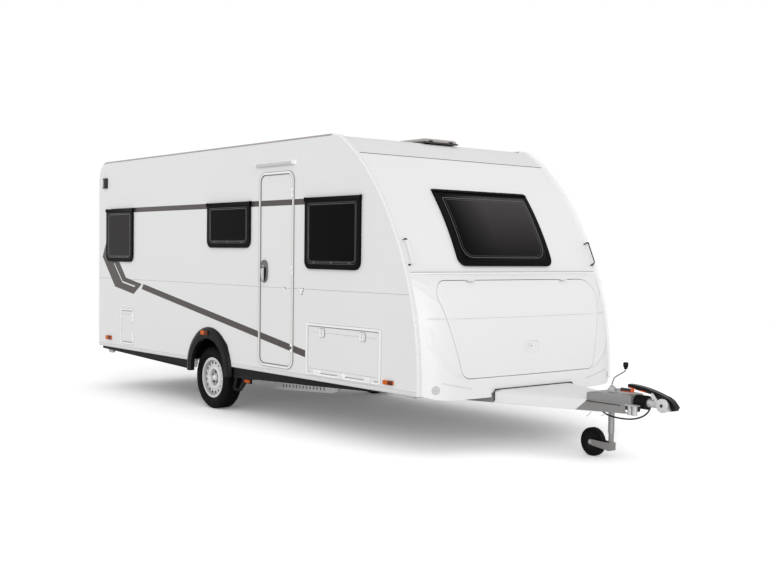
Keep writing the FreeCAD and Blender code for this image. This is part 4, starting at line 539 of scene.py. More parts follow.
amber_lens = Finish("amber_lens", (0.62, 0.12, 0.004), 0.2, Specular_IOR_Level=0.15)
x, _, z = amber_lens.place()
prisms = chequer(x, z, 0.007)
amber_lens.set(Base_Color=amber_lens.mix(prisms, (0.32, 0.035, 0.001), (0.68, 0.135, 0.002)))
amber_lens.bump(prisms, 0.5, 0.0012)
for side, name in SIDES:
    bracket = Form()
    for strip in BRACKET_STRIPS:
        bracket.prism(strip, 1.118, 1.1375, on_side(side), soften=0.002)
    bracket.piece("jacking_bracket_" + name, black_plastic, slot="black_plastic")
    lens = Form().block((0.672, side * 1.1375, 0.330), (0.757, side * 1.1445, 0.357), soften=0.003)
    lens.piece("sill_reflector_" + name, amber_lens, slot="lamp_amber")


# Arm hooks: two hooks of bent zinc wire, pressed into the underside of the right-hand arm.
# They hold the towing vehicle's cable and chain.

hooks = Form()
for x, y, drop in ((4.097, -0.187, 0.034), (4.206, -0.147, 0.020)):
    hooks.sweep([(x + 0.010, y, 0.392), (x + 0.006, y - 0.004, 0.378),
                 (x - 0.008, y - 0.008, 0.374 - drop / 2), (x - 0.026, y - 0.012, 0.374 - drop),
                 (x - 0.030, y - 0.012, 0.380 - drop)], 0.0028)
hooks.piece("arm_hooks", zinc, slot="galvanised")


# Wheels: pressed steel discs painted silver, with hand holes round them, each held by five
# bolts round a pressed hub cap. The tyres are rubber, moulded with ribbed side walls and five
# rows of tread blocks.

TYRE_OUT = 1.120
TYRE_HIGH = 0.310
TREAD_FLOOR = 0.3025
rim_silver = Finish("rim_silver", (0.70, 0.70, 0.70), 0.34, metallic=0.15, Coat_Weight=0.15)
# The silver is painted in rings round the axle: the cap's face pale; then, as painted shade and painted
# highlight, a dark dish round it, a bright ring on the raised boss and a darker band in the groove
# between disc and barrel.
x, _, z = rim_silver.place()
z = z - TYRE_HIGH
out = (x * x + z * z).root()
painted_rim_shade_and_door_lines = rim_silver.mix(out.step(0.103, 0.110), (0.88, 0.88, 0.88), (0.70, 0.70, 0.70))
painted_rim_shade_and_door_lines = rim_silver.mix(out.step(0.150, 0.168), painted_rim_shade_and_door_lines, (0.50, 0.495, 0.49))
painted_rim_shade_and_door_lines = rim_silver.mix(out.step(0.172, 0.186), painted_rim_shade_and_door_lines, (0.74, 0.74, 0.74))
painted_rim_shade_and_door_lines = rim_silver.mix(out.step(0.076, 0.090), (0.34, 0.33, 0.325), painted_rim_shade_and_door_lines)
rim_silver.set(Base_Color=rim_silver.mix(out.step(0.0305, 0.0325), (0.86, 0.86, 0.86), painted_rim_shade_and_door_lines))
rim_silver.roughen(25.0, 0.14, 0.26).coat("rim_right", "rim_left")
# Near black: painted shade in the wheels' hand holes, bolt seats and bolts, and the colour of the door
# handle's bowl.
hole_dark = Finish("hole_dark", (0.006, 0.006, 0.006), 0.8, Specular_IOR_Level=0.05)
hole_dark.roughen(80.0, 0.2, 0.7)
cast_dark = Finish("cast_dark", (0.06, 0.06, 0.06), 0.6, metallic=0.3)
cast_dark.grain(160.0, 0.5, 0.001).coat("drum_right", "drum_left", "swing_arms")
tyre_rubber = Finish("tyre_rubber", (0.006, 0.006, 0.0065), 0.62, Specular_IOR_Level=0.07)
tyre_rubber.roughen(40.0, 0.16, 0.52)
tyre_rubber.grain(420.0, 0.2, 0.0004)

SIDEWALL = [(1.0970, 0.2005), (1.1035, 0.2080), (1.1110, 0.2160), (1.1128, 0.2215), (1.1150, 0.2222),
            (1.1163, 0.2262), (1.1172, 0.2270), (1.1192, 0.2390), (1.1196, 0.2500), (1.1188, 0.2600),
            (1.1200, 0.2612), (1.1198, 0.2648), (1.1176, 0.2660), (1.1148, 0.2760), (1.1120, 0.2832),
            (1.1130, 0.2848), (1.1112, 0.2880), (1.1060, 0.2950), (1.0985, 0.3005), (1.0880, TREAD_FLOOR)]
TYRE_IN = 2 * TYRE_OUT - 0.194
tyre_section = SIDEWALL + [(TYRE_IN - o, r) for o, r in reversed(SIDEWALL)]
tyre_section += [(0.9542, 0.1790), (1.0918, 0.1790)]
TREAD_ROWS = ((1.0790, 0.0230, 0.35), (1.0510, 0.0200, 0.15), (1.0230, 0.0205, -0.3),
              (0.9950, 0.0200, -0.15), (0.9670, 0.0230, -0.35))
BLOCKS_ROUND = 62


def tread_block(middle, wide, skew):
    """One rubber block of the tread, its foot in the tyre and its face at the full radius."""
    block = Form()
    half_long = math.pi * TYRE_HIGH / BLOCKS_ROUND - 0.0028
    rows = []
    for radius, shrink in ((TREAD_FLOOR - 0.003, 0.0), (TYRE_HIGH - 0.0012, 0.0004), (TYRE_HIGH, 0.0014)):
        corners = []
        for a, b in ((-1, -1), (1, -1), (1, 1), (-1, 1)):
            across = a * (wide / 2 - shrink)
            along = b * (half_long - shrink) + across * skew
            turn = along / TYRE_HIGH
            corners.append(Vector((radius * math.cos(turn), radius * math.sin(turn), middle + across)))
        rows.append(block.loop(corners))
    return block.skin(rows, closed=False, capped=True)


BOLT_CIRCLE = 0.056
HOLES_ROUND = 16
HOLE_CIRCLE = 0.1475
DISC = [(1.0690, 0.1727), (1.0700, 0.1665), (1.0762, 0.1610), (1.0790, 0.1560), (1.0790, 0.1400),
        (1.0798, 0.1180), (1.0850, 0.1060), (1.0878, 0.1000), (1.0880, 0.0950), (1.0855, 0.0890),
        (1.0680, 0.0830), (1.0602, 0.0790), (1.0600, 0.0295), (1.0565, 0.0295), (1.0570, 0.0850),
        (1.0655, 0.0930), (1.0655, 0.1600), (1.0672, 0.1727)]
HOLE_LIP = [(-0.0010, 1.0780), (0.0, 1.0806), (0.0022, 1.0780)]
HUB_CAP = [(1.060, 0.0001), (1.060, 0.0322), (1.0615, 0.0322), (1.0625, 0.0306), (1.0765, 0.0302),
           (1.0830, 0.0262), (1.0862, 0.0180), (1.0868, 0.0001)]


def on_disc(u, v, h):
    """Place on the wheel disc about one hand hole, before the disc is stood on its axle."""
    turn = math.pi / HOLES_ROUND
    across = Vector((math.cos(turn), math.sin(turn), 0)) * (HOLE_CIRCLE + u)
    return across + Vector((-math.sin(turn), math.cos(turn), 0)) * v + Vector((0, 0, h))


def oval(u, v, half_wide, half_high, parts=48):
    turns = [math.tau * i / parts for i in range(parts)]
    return [(u + half_wide * math.cos(t), v + half_high * math.sin(t)) for t in turns]


def ringed(form, finish, count, side, stand):
    """Copies of a form all round the axle, stood on it. The right-hand ones are mirrored."""
    ring = in_circle.made(form, finish, Matrix.Identity(4), Count=count, Radius=0.0)
    ring.transform(stand)
    if side == RIGHT:
        ring.flip_normals()
    return ring


for side, name in SIDES:
    spin = Matrix.Translation(here(0, 0, TYRE_HIGH)) @ Matrix.Scale(side, 4, Vector((0, 1, 0))) \
        @ Matrix.Rotation(-math.pi / 2, 4, "X")
    axle = around(0.0, TYRE_HIGH, side)
    tyre = [Form().lathe(tyre_section, axle, sides=128).mesh("carcass", 40)]
    for i, row in enumerate(TREAD_ROWS):
        half_step = Matrix.Rotation(math.pi / BLOCKS_ROUND * (i % 2), 4, "Z")
        tyre.append(ringed(tread_block(*row), tyre_rubber, BLOCKS_ROUND, side, spin @ half_step))
    joined("tyre_with_tread_" + name, tyre, tyre_rubber, "wheel_" + name, ["tyre_" + name])

    # Bolt seats and bolts are near black, painted shade in the recesses round the bolts.
    seats = Form()
    bolts = Form()
    for i in range(5):
        turn = math.tau * i / 5 + 0.3
        x, z = BOLT_CIRCLE * math.cos(turn), TYRE_HIGH + BOLT_CIRCLE * math.sin(turn)
        seats.rod((x, side * 1.0590, z), (x, side * 1.0612, z), 0.0145, 28, 0.0138)
        bolts.rod((x, side * 1.0605, z), (x, side * 1.0680, z), 0.0085, 6, 0.0078)
    seats.piece("bolt_seats_" + name, hole_dark, "wheel_" + name, "drum_dark")
    lip = Form().moulding(oval(0, 0, 0.0122, 0.0147, 20), HOLE_LIP, on_disc)
    # Each hand hole is closed by a near-black oval, painted shade in place of the opening.
    opening = Form().prism(oval(0, 0, 0.0117, 0.0142, 20), 1.0780, 1.0794, on_disc)
    pressing = [Form().lathe(DISC, axle, sides=96).mesh("disc", 30),
                ringed(lip, rim_silver, HOLES_ROUND, side, spin)]
    openings = ringed(opening, hole_dark, HOLES_ROUND, side, spin)
    joined("wheel_disc_" + name, pressing, rim_silver, "wheel_" + name)
    joined("hand_holes_" + name, [openings], hole_dark, "wheel_" + name)
    bolts.piece("wheel_bolts_" + name, hole_dark, "wheel_" + name, "drum_dark")
    hub_cap = Form().lathe(HUB_CAP, axle, sides=48)
    hub_cap.rod((0.105, side * 1.078, TYRE_HIGH - 0.105), (0.113, side * 1.098, TYRE_HIGH - 0.113),
                0.0042, 12, 0.0034)
    hub_cap.piece("hub_cap_" + name, rim_silver, "wheel_" + name, "rim_silver")


# Side walls, doors and hatches: sandwich panels skinned with white-painted aluminium sheet,
# joined along one level seam. The wide grey bands are cut film laid on the finished paint.

PAINT_WHITE = (0.80, 0.805, 0.80)
BAND_GREY = (0.066, 0.055, 0.052)
SEAM_GREY = (0.42, 0.42, 0.42)
SEAM_LEVEL = 1.252
BAND_SIDE = 1.12
UPPER_BAND = [(-2.17, 1.995), (1.75, 1.995), (1.75, 2.047), (-2.17, 2.047)]
LONG_BAND = [(-1.436, 1.153), (1.684, 0.651), (1.684, 0.713), (-1.373, 1.208)]
CHEVRON = [
    [(-2.398, 1.498), (-2.072, 1.160), (-1.798, 1.268), (-1.952, 1.429), (-2.289, 1.689)],
    [(-2.072, 1.160), (-1.609, 1.090), (-1.415, 1.206), (-1.798, 1.268)],
]
CHEVRON_LINE = [
    [(-2.104, 1.426), (-1.893, 1.215), (-1.873, 1.215), (-2.084, 1.426)],
    [(-1.893, 1.212), (-1.592, 1.168), (-1.570, 1.181), (-1.873, 1.225)],
    [(-1.530, 1.060), (-1.490, 1.060), (-1.360, 1.230), (-1.400, 1.230)],
]


def inside(x, z, corners):
    """1 inside a convex outline on the wall given anticlockwise, 0 outside."""
    mask = None
    for (x0, z0), (x1, z1) in zip(corners, corners[1:] + corners[:1]):
        within = (z - z0) * (x1 - x0) - (x - x0) * (z1 - z0) > 0.0
        mask = within if mask is None else mask & within
    return mask


body_paint = Finish("body_paint", PAINT_WHITE, 0.34, Specular_IOR_Level=0.35, Coat_Weight=0.08,
                    Coat_Roughness=0.12)
x, y, z = body_paint.place()
bands = inside(x, z, UPPER_BAND) | inside(x, z, LONG_BAND)
for part in CHEVRON:
    bands = bands | inside(x, z, part)
for part in CHEVRON_LINE:
    bands = bands & (1 - inside(x, z, part))
outer_face = y.size() > BAND_SIDE
seam = z.near(SEAM_LEVEL, 0.004) & outer_face
plain = body_paint.mix(body_paint.noise(1.1), (0.785, 0.79, 0.785), (0.815, 0.82, 0.815))
seamed = body_paint.mix(seam, plain, SEAM_GREY)
body_paint.set(Base_Color=body_paint.mix(bands & outer_face, seamed, BAND_GREY))
body_paint.roughen(1.6, 0.08, 0.30)
body_paint.bump(seam * -1.0 + body_paint.noise(2.2) * 0.25, 0.25, 0.002)
body_paint.coat("side_wall_right", "side_wall_left", "entrance_door", "toilet_door", "service_door")

plain_paint = Finish("plain_paint", PAINT_WHITE, 0.5, Specular_IOR_Level=0.12)
plain_paint.mottle(1.3, (0.74, 0.745, 0.74), (0.78, 0.785, 0.78)).roughen(1.6, 0.1, 0.44)
plain_paint.coat("roof_panel", "rear_wall")


# Edge rails: white-coated aluminium extrusions with fine ribs along them, screwed over every
# corner of the body. A line of grey sealant shows along their crown.

rail_white = Finish("rail_white", (0.90, 0.90, 0.90), 0.3, Coat_Weight=0.2)
x, y, z = rail_white.place()
# The rib lines are painted shade in the grooves between the ribs, much darker on the right-hand side than
# on the left.
right_side_rib_shade = (y < 0.0) * 0.85 + 0.15
y = y.size()
ribs = y.near(1.1290, 0.0028) | y.near(1.1405, 0.0020) | y.near(1.1500, 0.0020)
crown_seal = (z > 2.5640) & (x < 2.05)
ribbed = rail_white.mix(ribs * right_side_rib_shade, (0.91, 0.91, 0.91), (0.40, 0.39, 0.39))
rail_white.set(Base_Color=rail_white.mix(crown_seal, ribbed, (0.36, 0.32, 0.31)))
rail_white.roughen(3.0, 0.08, 0.24)
rail_white.bump(ribs * right_side_rib_shade * -1.0, 0.6, 0.002).coat("edge_rails")


# Sill strips and skirts: extruded white trim with fine slanting ribs along the foot of each
# wall, and under it skirts of black plastic whose lower edge is rolled outwards.

sill_white = Finish("sill_white", (0.76, 0.76, 0.76), 0.35, Coat_Weight=0.2)
x, _, z = sill_white.place()
hatch = ((x + z * 2.4) % 0.046) > 0.027
lines = z.near(0.4965, 0.002) | z.near(0.4680, 0.002)
shade = hatch * 0.55 | lines
sill_white.set(Base_Color=sill_white.mix(shade, (0.86, 0.86, 0.86), (0.48, 0.47, 0.46)))
sill_white.bump(hatch | lines, 0.5, 0.001).coat("sill_strips")
black_plastic.coat("skirts", "wheel_boxes")
EDGE_OUTLINES = ([(-2.405, 0.4315), (-0.398, 0.3670), (-0.398, 0.4040), (-2.405, 0.4480)],
                 [(0.474, 0.3600), (1.500, 0.3985), (1.500, 0.4100), (0.474, 0.3800)])
skirt_edges = Form()
for side in (RIGHT, LEFT):
    for outline in EDGE_OUTLINES:
        skirt_edges.prism(outline, 1.1388, 1.1470, on_side(side), soften=0.002)
skirt_edges.piece("skirt_edges", black_plastic, slot="black_plastic")


# Wheel arch trims: glossy moulded plastic with a rolled inner lip, spread feet and a tab on
# the front half. Five plastic clips hold each one to the wall.

glossy_black = Finish("glossy_black", (0.006, 0.006, 0.007), 0.28, Specular_IOR_Level=0.12)
glossy_black.roughen(22.0, 0.12, 0.22).coat("wheel_arch_trims")
ARCH = (0.038, 0.395)
ARCH_OUTER, ARCH_INNER = 0.425, 0.315
TAB = ((0.419, 33), (0.433, 34), (0.436, 39), (0.431, 44), (0.419, 45))
CLIPS = (20, 52, 90, 128, 160)


def on_arch(radius, degrees, side, level):
    turn = math.radians(degrees)
    return ARCH[0] + radius * math.cos(turn), side * level, ARCH[1] + radius * math.sin(turn)


for side, name in SIDES:
    trim = Form()
    trim.sweep([on_arch(ARCH_INNER + 0.004, a, side, 1.1865) for a in range(-4, 185, 4)], 0.0045, 10)
    trim.sweep([on_arch(ARCH_OUTER - 0.004, a, side, 1.1640) for a in range(-4, 185, 4)], 0.0050, 10)
    for sign in (-1, 1):
        foot = ARCH[0] + sign * (ARCH_INNER + ARCH_OUTER) / 2
        inner, outer = foot - sign * 0.052, foot + sign * 0.052
        trim.sweep([(inner, side * 1.184, 0.3665), (foot, side * 1.186, 0.3625),
                    (outer, side * 1.170, 0.3665)], 0.0055, 10)
    trim.prism([on_arch(r, a, 1, 0)[::2] for r, a in TAB], 1.161, 1.172, on_side(side), soften=0.002)
    for degrees in CLIPS:
        x0, y0, z0 = on_arch(0.402, degrees, side, 1.176)
        trim.rod((x0, y0, z0), (x0, side * 1.1835, z0), 0.0065, 14)
    trim.piece("arch_lip_" + name, glossy_black, slot="black_plastic")


# Front wall, gas locker moulding and its lid: gel-coated moulded plastic, glossier than the
# walls. A white capping, bedded on grey sealant, covers the joint of wall and moulding.

class Skin:
    """Finds places on, or raised from, the surface of some CAD nodes, seen from one way."""

    def __init__(self, towards, *names):
        solid = bmesh.new()
        for name in names:
            solid.from_mesh(nodes[name].data)
        self.tree = BVHTree.FromBMesh(solid)
        self.towards = Vector(towards)

    def at(self, place, raised=0.0, slope=None):
        found, normal, _, _ = self.tree.ray_cast(place + self.towards * 4, -self.towards)
        return found + (slope or normal) * raised


def gel(name):
    """The finish of all gel-coated parts."""
    finish = Finish(name, (0.82, 0.82, 0.825), 0.3, Specular_IOR_Level=0.4, Coat_Weight=0.1,
                    Coat_Roughness=0.15)
    return finish.mottle(1.2, (0.80, 0.80, 0.805), (0.835, 0.835, 0.84)).roughen(2.0, 0.08, 0.30)


gel_coat = gel("gel_coat")
gel_coat.coat("front_wall", "gas_locker_lid", "rear_panel", "service_fittings")

# Soft ridges run down the moulding's flanks, with a short crease beside the lid and one above
# each reflector.
RIDGES = (((1.060, 0.970), (1.050, 0.860), (0.960, 0.720), (0.850, 0.640), (0.720, 0.600)),
          ((1.100, 1.315), (1.008, 1.221), (0.900, 1.150)), ((1.115, 1.375), (1.010, 1.332)))
CREASES = (((0.930, 1.065), (1.055, 1.065)), ((0.985, 0.562), (0.835, 0.531), (0.690, 0.505)))


def from_line(u, v, corners):
    """Distance from a bent line drawn on a surface."""
    nearest = None
    for (u0, v0), (u1, v1) in zip(corners, corners[1:]):
        along_u, along_v = u1 - u0, v1 - v0
        square = along_u ** 2 + along_v ** 2
        share = ((u - u0) * (along_u / square) + (v - v0) * (along_v / square)).step(0.0, 1.0)
        off_u, off_v = u - u0 - share * along_u, v - v0 - share * along_v
        off = (off_u * off_u + off_v * off_v).root()
        nearest = off if nearest is None else off.sum("MINIMUM", nearest, off)
    return nearest


ridged_gel = gel("ridged_gel")
_, y, z = ridged_gel.place()
rise = None
for ridge in RIDGES:
    bulge = from_line(y.size(), z, ridge).step(0.034, 0.0)
    rise = bulge if rise is None else rise | bulge
for crease in CREASES:
    rise = rise - from_line(y.size(), z, crease).step(0.009, 0.0) * 0.7
ridged_gel.bump(rise, 0.8, 0.009).coat("front_locker_moulding")
trim_white = Finish("trim_white", (0.92, 0.92, 0.92), 0.3, Specular_IOR_Level=0.3, Coat_Weight=0.05)
trim_white.roughen(20.0, 0.1, 0.24).coat("door_frame", "hatch_frames")
# Grey for sealant, keyways and locks, also used as painted shade along the roof strip and painted shadow
# behind the door catch.
seal_grey = Finish("seal_grey", (0.16, 0.15, 0.15), 0.6).roughen(60.0, 0.2, 0.5)
# Black for rubber seals, seams and key slots, also used as painted shade behind the vent slats and in the
# rails' pierced holes.
seal_black = Finish("seal_black", (0.015, 0.015, 0.015), 0.6).roughen(60.0, 0.2, 0.5)

from_ahead = Skin((1, 0, 0), "front_wall", "front_locker_moulding")
CAP_LEVEL = 1.4195
capping = Form()
grooves = Form()
stations = [i * 0.0278 for i in range(-40, 41)]
for form, reach, low, high, proud in ((capping, 1.0, -0.0075, 0.0075, 0.0050),
                                      (grooves, 0.998, -0.0105, 0.0105, 0.0022)):
    rows = []
    for y in stations:
        base = from_ahead.at(here(0, y * reach, CAP_LEVEL + 0.004))
        foot = from_ahead.at(here(0, y * reach, CAP_LEVEL - 0.010))
        x = max(base.x, foot.x - 0.006)
        rows.append(form.loop([Vector((x - 0.006, base.y, CAP_LEVEL + low)),
                               Vector((x + proud, base.y, CAP_LEVEL + low + 0.001)),
                               Vector((x + proud - 0.001, base.y, CAP_LEVEL + high - 0.001)),
                               Vector((x - 0.010, base.y, CAP_LEVEL + high))]))
    form.skin(rows, closed=False, capped=True)
capping.piece("belt_capping", trim_white, slot="moulded_white")
grooves.piece("belt_seal", seal_grey, slot="rubber_black")


# Roof strip: where the roof meets the front wall, a thin white strip of aluminium is screwed over the
# joint.
# Narrow grey strips along its lower and upper edges are painted shade at the overlap.

BOW_OUT = Vector((0.876, 0, 0.483))
BOW_UP = Vector((-0.483, 0, 0.876))
from_bow = Skin(BOW_OUT, "front_wall", "roof_panel")
roof_strip = Form()
roof_joint = Form()
for form, low, high, proud in ((roof_joint, -0.0085, -0.0010, 0.0016),
                               (roof_strip, -0.0010, 0.0075, 0.0034),
                               (roof_joint, 0.0075, 0.0095, 0.0022)):
    section = ((low, -0.002), (low + 0.0005, proud), (high - 0.0005, proud), (high, -0.002))
    rows = []
    for y in stations:
        middle = here(2.365, y, 2.424)
        rows.append(form.loop([from_bow.at(middle + BOW_UP * along, raised, BOW_OUT)
                               for along, raised in section]))
    form.skin(rows, closed=False, capped=True)
roof_strip.piece("roof_strip", trim_white, slot="rail_alloy")
roof_joint.piece("roof_joint", seal_grey, slot="rubber_black")


# Lid lock: a barrel of white moulded plastic with a dark key slot, pushed into the finger bowl
# of the gas locker's lid.

LID_LOCK = 0.820
lock = Form().rod((3.2960, 0, LID_LOCK), (3.2985, 0, LID_LOCK), 0.0150, 28, 0.0140)
lock.piece("lid_lock", trim_white, "gas_locker_lid", "moulded_white")
keyway = Form().rod((3.2980, 0, LID_LOCK), (3.2992, 0, LID_LOCK), 0.0062, 20)
keyway.block((3.2985, -0.0014, 0.8140), (3.2997, 0.0014, 0.8260))
keyway.piece("lid_keyway", seal_black, "gas_locker_lid", "moulded_white")


# Windows: hinged panes of dark tinted acrylic in black plastic frames. A hinge rail runs along
# the head of each, a moulded rim inside the pane, and small catches stand along its foot.

frame_black = Finish("frame_black", (0.003, 0.003, 0.003), 0.34, Specular_IOR_Level=0.04)
frame_black.roughen(40.0, 0.15, 0.28).coat("window_frames")
dark_acrylic = Finish("dark_acrylic", (0.002, 0.002, 0.002), 0.05, Specular_IOR_Level=0.035)
# The blind behind the berth windows is grey of its own. The rest is painted light: a painted reflection
# lightens the panes towards their top, the right-hand panes are painted near black as shade, and the
# front pane is darker still.
x, y, z = dark_acrylic.place()
blind = (x < -1.60) & (x > -2.40) & (y.size() > BAND_SIDE)
front_pane_shade_mask = x > 2.5
painted_sky_share = z.step(1.55, 2.06)
pane_painted_light = dark_acrylic.mix(painted_sky_share, (0.009, 0.008, 0.009), (0.058, 0.053, 0.054))
pane_painted_light = dark_acrylic.mix(y.step(-0.46, -0.05), (0.001, 0.001, 0.001), pane_painted_light)
pane_painted_light = dark_acrylic.mix(front_pane_shade_mask, (0.0008, 0.0008, 0.0008), pane_painted_light)
dark_acrylic.set(Base_Color=dark_acrylic.mix(blind, pane_painted_light, (0.030, 0.027, 0.029)))
dark_acrylic.roughen(3.0, 0.03, 0.04).coat("window_panes")
# The pane rims are dark grey, lighter than the black frames: painted highlight along the moulded rims,
# with real gloss from the coat.
rim_gloss = Finish("rim_gloss", (0.05, 0.05, 0.052), 0.2, Coat_Weight=0.3).roughen(40.0, 0.12, 0.14)
catch_grey = Finish("catch_grey", (0.10, 0.10, 0.10), 0.5).roughen(90.0, 0.2, 0.4)


def rounded_path(u0, v0, u1, v1, low, top=None, steps=7):
    """Outline of a rounded rectangle, anticlockwise, with one radius for each pair of corners."""
    top = low if top is None else top
    corners = [(u0 + low, v0 + low, low, 180), (u1 - low, v0 + low, low, 270),
               (u1 - top, v1 - top, top, 0), (u0 + top, v1 - top, top, 90)]
    path = []
    for u, v, radius, start in corners:
        for i in range(steps + 1):
            turn = math.radians(start + 90 * i / steps)
            path.append((u + radius * math.cos(turn), v + radius * math.sin(turn)))
    return path


RIM = [(-0.0040, -0.001), (-0.0026, 0.0030), (0.0026, 0.0030), (0.0040, -0.001)]
OUTER_RIM = [(-0.0028, 0.0), (-0.0018, 0.0042), (0.0018, 0.0042), (0.0028, 0.0)]
FINE_RIM = [(-0.0015, -0.001), (-0.001, 0.0012), (0.001, 0.0012), (0.0015, -0.001)]
PANE_FACE = 1.177
CATCH_SHARES = (0.18, 0.5, 0.82)
SIDE_WINDOWS = ((1.683, 1.431, 2.466, 2.048), (0.008, 1.610, 0.790, 2.043),
                (-2.263, 1.445, -1.610, 2.036))
REAR_WINDOW = (-0.480, 1.470, 0.480, 2.010)


def rim_path(u0, v0, u1, v1):
    return rounded_path(u0 + 0.062, v0 + 0.060, u1 - 0.062, v1 - 0.060, 0.045, 0.02)


rims = Form()
headers = Form()
catches = Form()
for side in (RIGHT, LEFT):
    def on_pane(u, v, h):
        return here(u, side * (PANE_FACE + h), v)

    for u0, v0, u1, v1 in SIDE_WINDOWS:
        rims.moulding(rim_path(u0, v0, u1, v1), RIM, on_pane)
        rims.moulding(rounded_path(u0 + 0.047, v0 + 0.047, u1 - 0.047, v1 - 0.047, 0.040, 0.012),
                      OUTER_RIM, on_pane)
        headers.block((u0 - 0.001, side * 1.160, v1 - 0.026), (u1 + 0.004, side * 1.1850, v1 + 0.004),
                      0.004)
        for share in CATCH_SHARES:
            u = u0 + (u1 - u0) * share
            catches.block((u - 0.012, side * 1.176, v0 + 0.052), (u + 0.012, side * 1.1795, v0 + 0.066),
                          0.001)
        catches.block((u0 + 0.080, side * 1.1765, v0 + 0.0695),
                      (u1 - 0.080, side * 1.1778, v0 + 0.0715))
rims.moulding(rim_path(*REAR_WINDOW), RIM, lambda u, v, h: here(-2.497 - h, u, v))
u0, v0, u1, v1 = REAR_WINDOW
headers.block((-2.5065, u0 - 0.010, v1 - 0.030), (-2.480, u1 + 0.010, v1 + 0.008), 0.004)

# The front pane is bent to the nose: its rims and its head band follow it.
front_pane = Skin((1, 0, 0), "window_panes", "window_frames", "front_wall")


def on_front(u, v, h):
    return front_pane.at(here(0, u, v), h, BOW_OUT)


def dense(path, longest=0.05):
    """The same outline with points added on its long runs, so that it can follow a curve."""
    full = []
    for (u0, v0), (u1, v1) in zip(path, path[1:] + path[:1]):
        parts = max(1, math.ceil(math.hypot(u1 - u0, v1 - v0) / longest))
        full += [(u0 + (u1 - u0) * i / parts, v0 + (v1 - v0) * i / parts) for i in range(parts)]
    return full


rims.moulding(dense(rounded_path(-0.494, 1.548, 0.494, 2.050, 0.105, 0.012)), RIM, on_front)
rims.moulding(dense(rounded_path(-0.470, 1.562, 0.470, 2.036, 0.095, 0.010)), FINE_RIM, on_front)
HEAD_BAND = ((2.098, -0.002), (2.100, 0.011), (2.116, 0.011), (2.122, -0.002))
HEAD_HALF, HEAD_PARTS = 0.572, 44
head_rows = []
for i in range(HEAD_PARTS + 1):
    u = -HEAD_HALF + 2 * HEAD_HALF * i / HEAD_PARTS
    head_rows.append(headers.loop([on_front(u * 0.98, v, h) for v, h in HEAD_BAND]))
headers.skin(head_rows, closed=False, capped=True)
rims.piece("pane_rims", rim_gloss, slot="frame_grey")
headers.piece("window_hinge_rails", frame_black, slot="frame_grey")
catches.piece("window_catches", catch_grey, slot="frame_grey")


# Entrance door: soft brown rubber seals line its leaf and its frame. The handle is an oval of
# smoked chrome over a dark bowl, with a key plate above its silver pull. A white moulded catch
# on the leaf clips into its keeper on the wall and holds the door open; grey plates behind both
# are painted shadow.

on_right = on_side(RIGHT)
seal_brown = Finish("seal_brown", (0.30, 0.27, 0.26), 0.6).roughen(60.0, 0.2, 0.5)
OUTER_SEAL = [(-0.0014, 1.159), (-0.0014, 1.1690), (0.0022, 1.1688), (0.0036, 1.159)]
INNER_SEAL = [(-0.0022, 1.1606), (-0.0022, 1.1686), (0.0004, 1.1690), (0.0004, 1.1606)]
LINE_BACK, LINE_FACE = 1.1597, 1.1607


def flat_section(wide):
    """Section of a thin flat line that lies on the right-hand wall."""
    return [(-wide, LINE_BACK), (-wide, LINE_FACE), (0.0, LINE_FACE), (0.0, LINE_BACK)]


frame_seal = Form()
for corners, radius, section in (((0.937, 0.524, 1.498, 2.302), 0.090, OUTER_SEAL),
                                 ((0.9575, 0.5445, 1.4775, 2.2815), 0.070, INNER_SEAL)):
    frame_seal.moulding(rounded_path(*corners, radius, steps=12), section, on_right)
frame_seal.piece("door_frame_seal", seal_brown, slot="rubber_black")
leaf_seal = Form().moulding(rounded_path(0.9630, 0.5500, 1.4810, 2.2760, 0.065, steps=12),
                            flat_section(0.0034), on_right)
leaf_seal.piece("door_leaf_seal", seal_brown, "entrance_door", "rubber_black")

smoked_chrome = Finish("smoked_chrome", (0.16, 0.155, 0.155), 0.28, metallic=0.5)
smoked_chrome.roughen(30.0, 0.12, 0.24).coat("door_handle")
GRIP_X, GRIP_Z = 1.036, 1.397
PULL_RIGHT, PULL_TOP = GRIP_X + 0.004, GRIP_Z + 0.034
RING = [(-0.0055, 1.1735), (-0.0040, 1.1780), (0.0, 1.1795), (0.0040, 1.1780), (0.0055, 1.1735)]
handle_ring = Form().moulding(oval(GRIP_X, GRIP_Z, 0.0450, 0.0990), RING, on_right)
handle_ring.piece("handle_ring", smoked_chrome, "entrance_door", "chrome_dark")
bowl = Form().prism(oval(GRIP_X, GRIP_Z, 0.0420, 0.0960), 1.1736, 1.1750, on_right)
bowl.piece("handle_bowl", hole_dark, "entrance_door", "chrome_dark")
upper = [(u, v) for u, v in oval(GRIP_X, GRIP_Z, 0.0410, 0.0950) if v > PULL_TOP]
key_plate = Form().prism(upper, 1.1745, 1.1775, on_right, soften=0.001)
key_plate.piece("handle_key_plate", smoked_chrome, "entrance_door", "chrome_dark")
grip = oval(GRIP_X, GRIP_Z, 0.0400, 0.0930)
pull_outline = [(u, v) for u, v in grip if u < PULL_RIGHT and v < PULL_TOP] + [(PULL_RIGHT, PULL_TOP)]
pull = Form().prism(pull_outline, 1.1745, 1.1850, on_right, soften=0.003)
pull.rod((GRIP_X - 0.012, -1.1770, GRIP_Z + 0.050), (GRIP_X - 0.012, -1.1800, GRIP_Z + 0.050), 0.0085)
satin_silver = Finish("satin_silver", (0.62, 0.62, 0.63), 0.3, metallic=0.2).roughen(40.0, 0.12, 0.24)
pull.piece("handle_pull", satin_silver, "entrance_door", "chrome_dark")
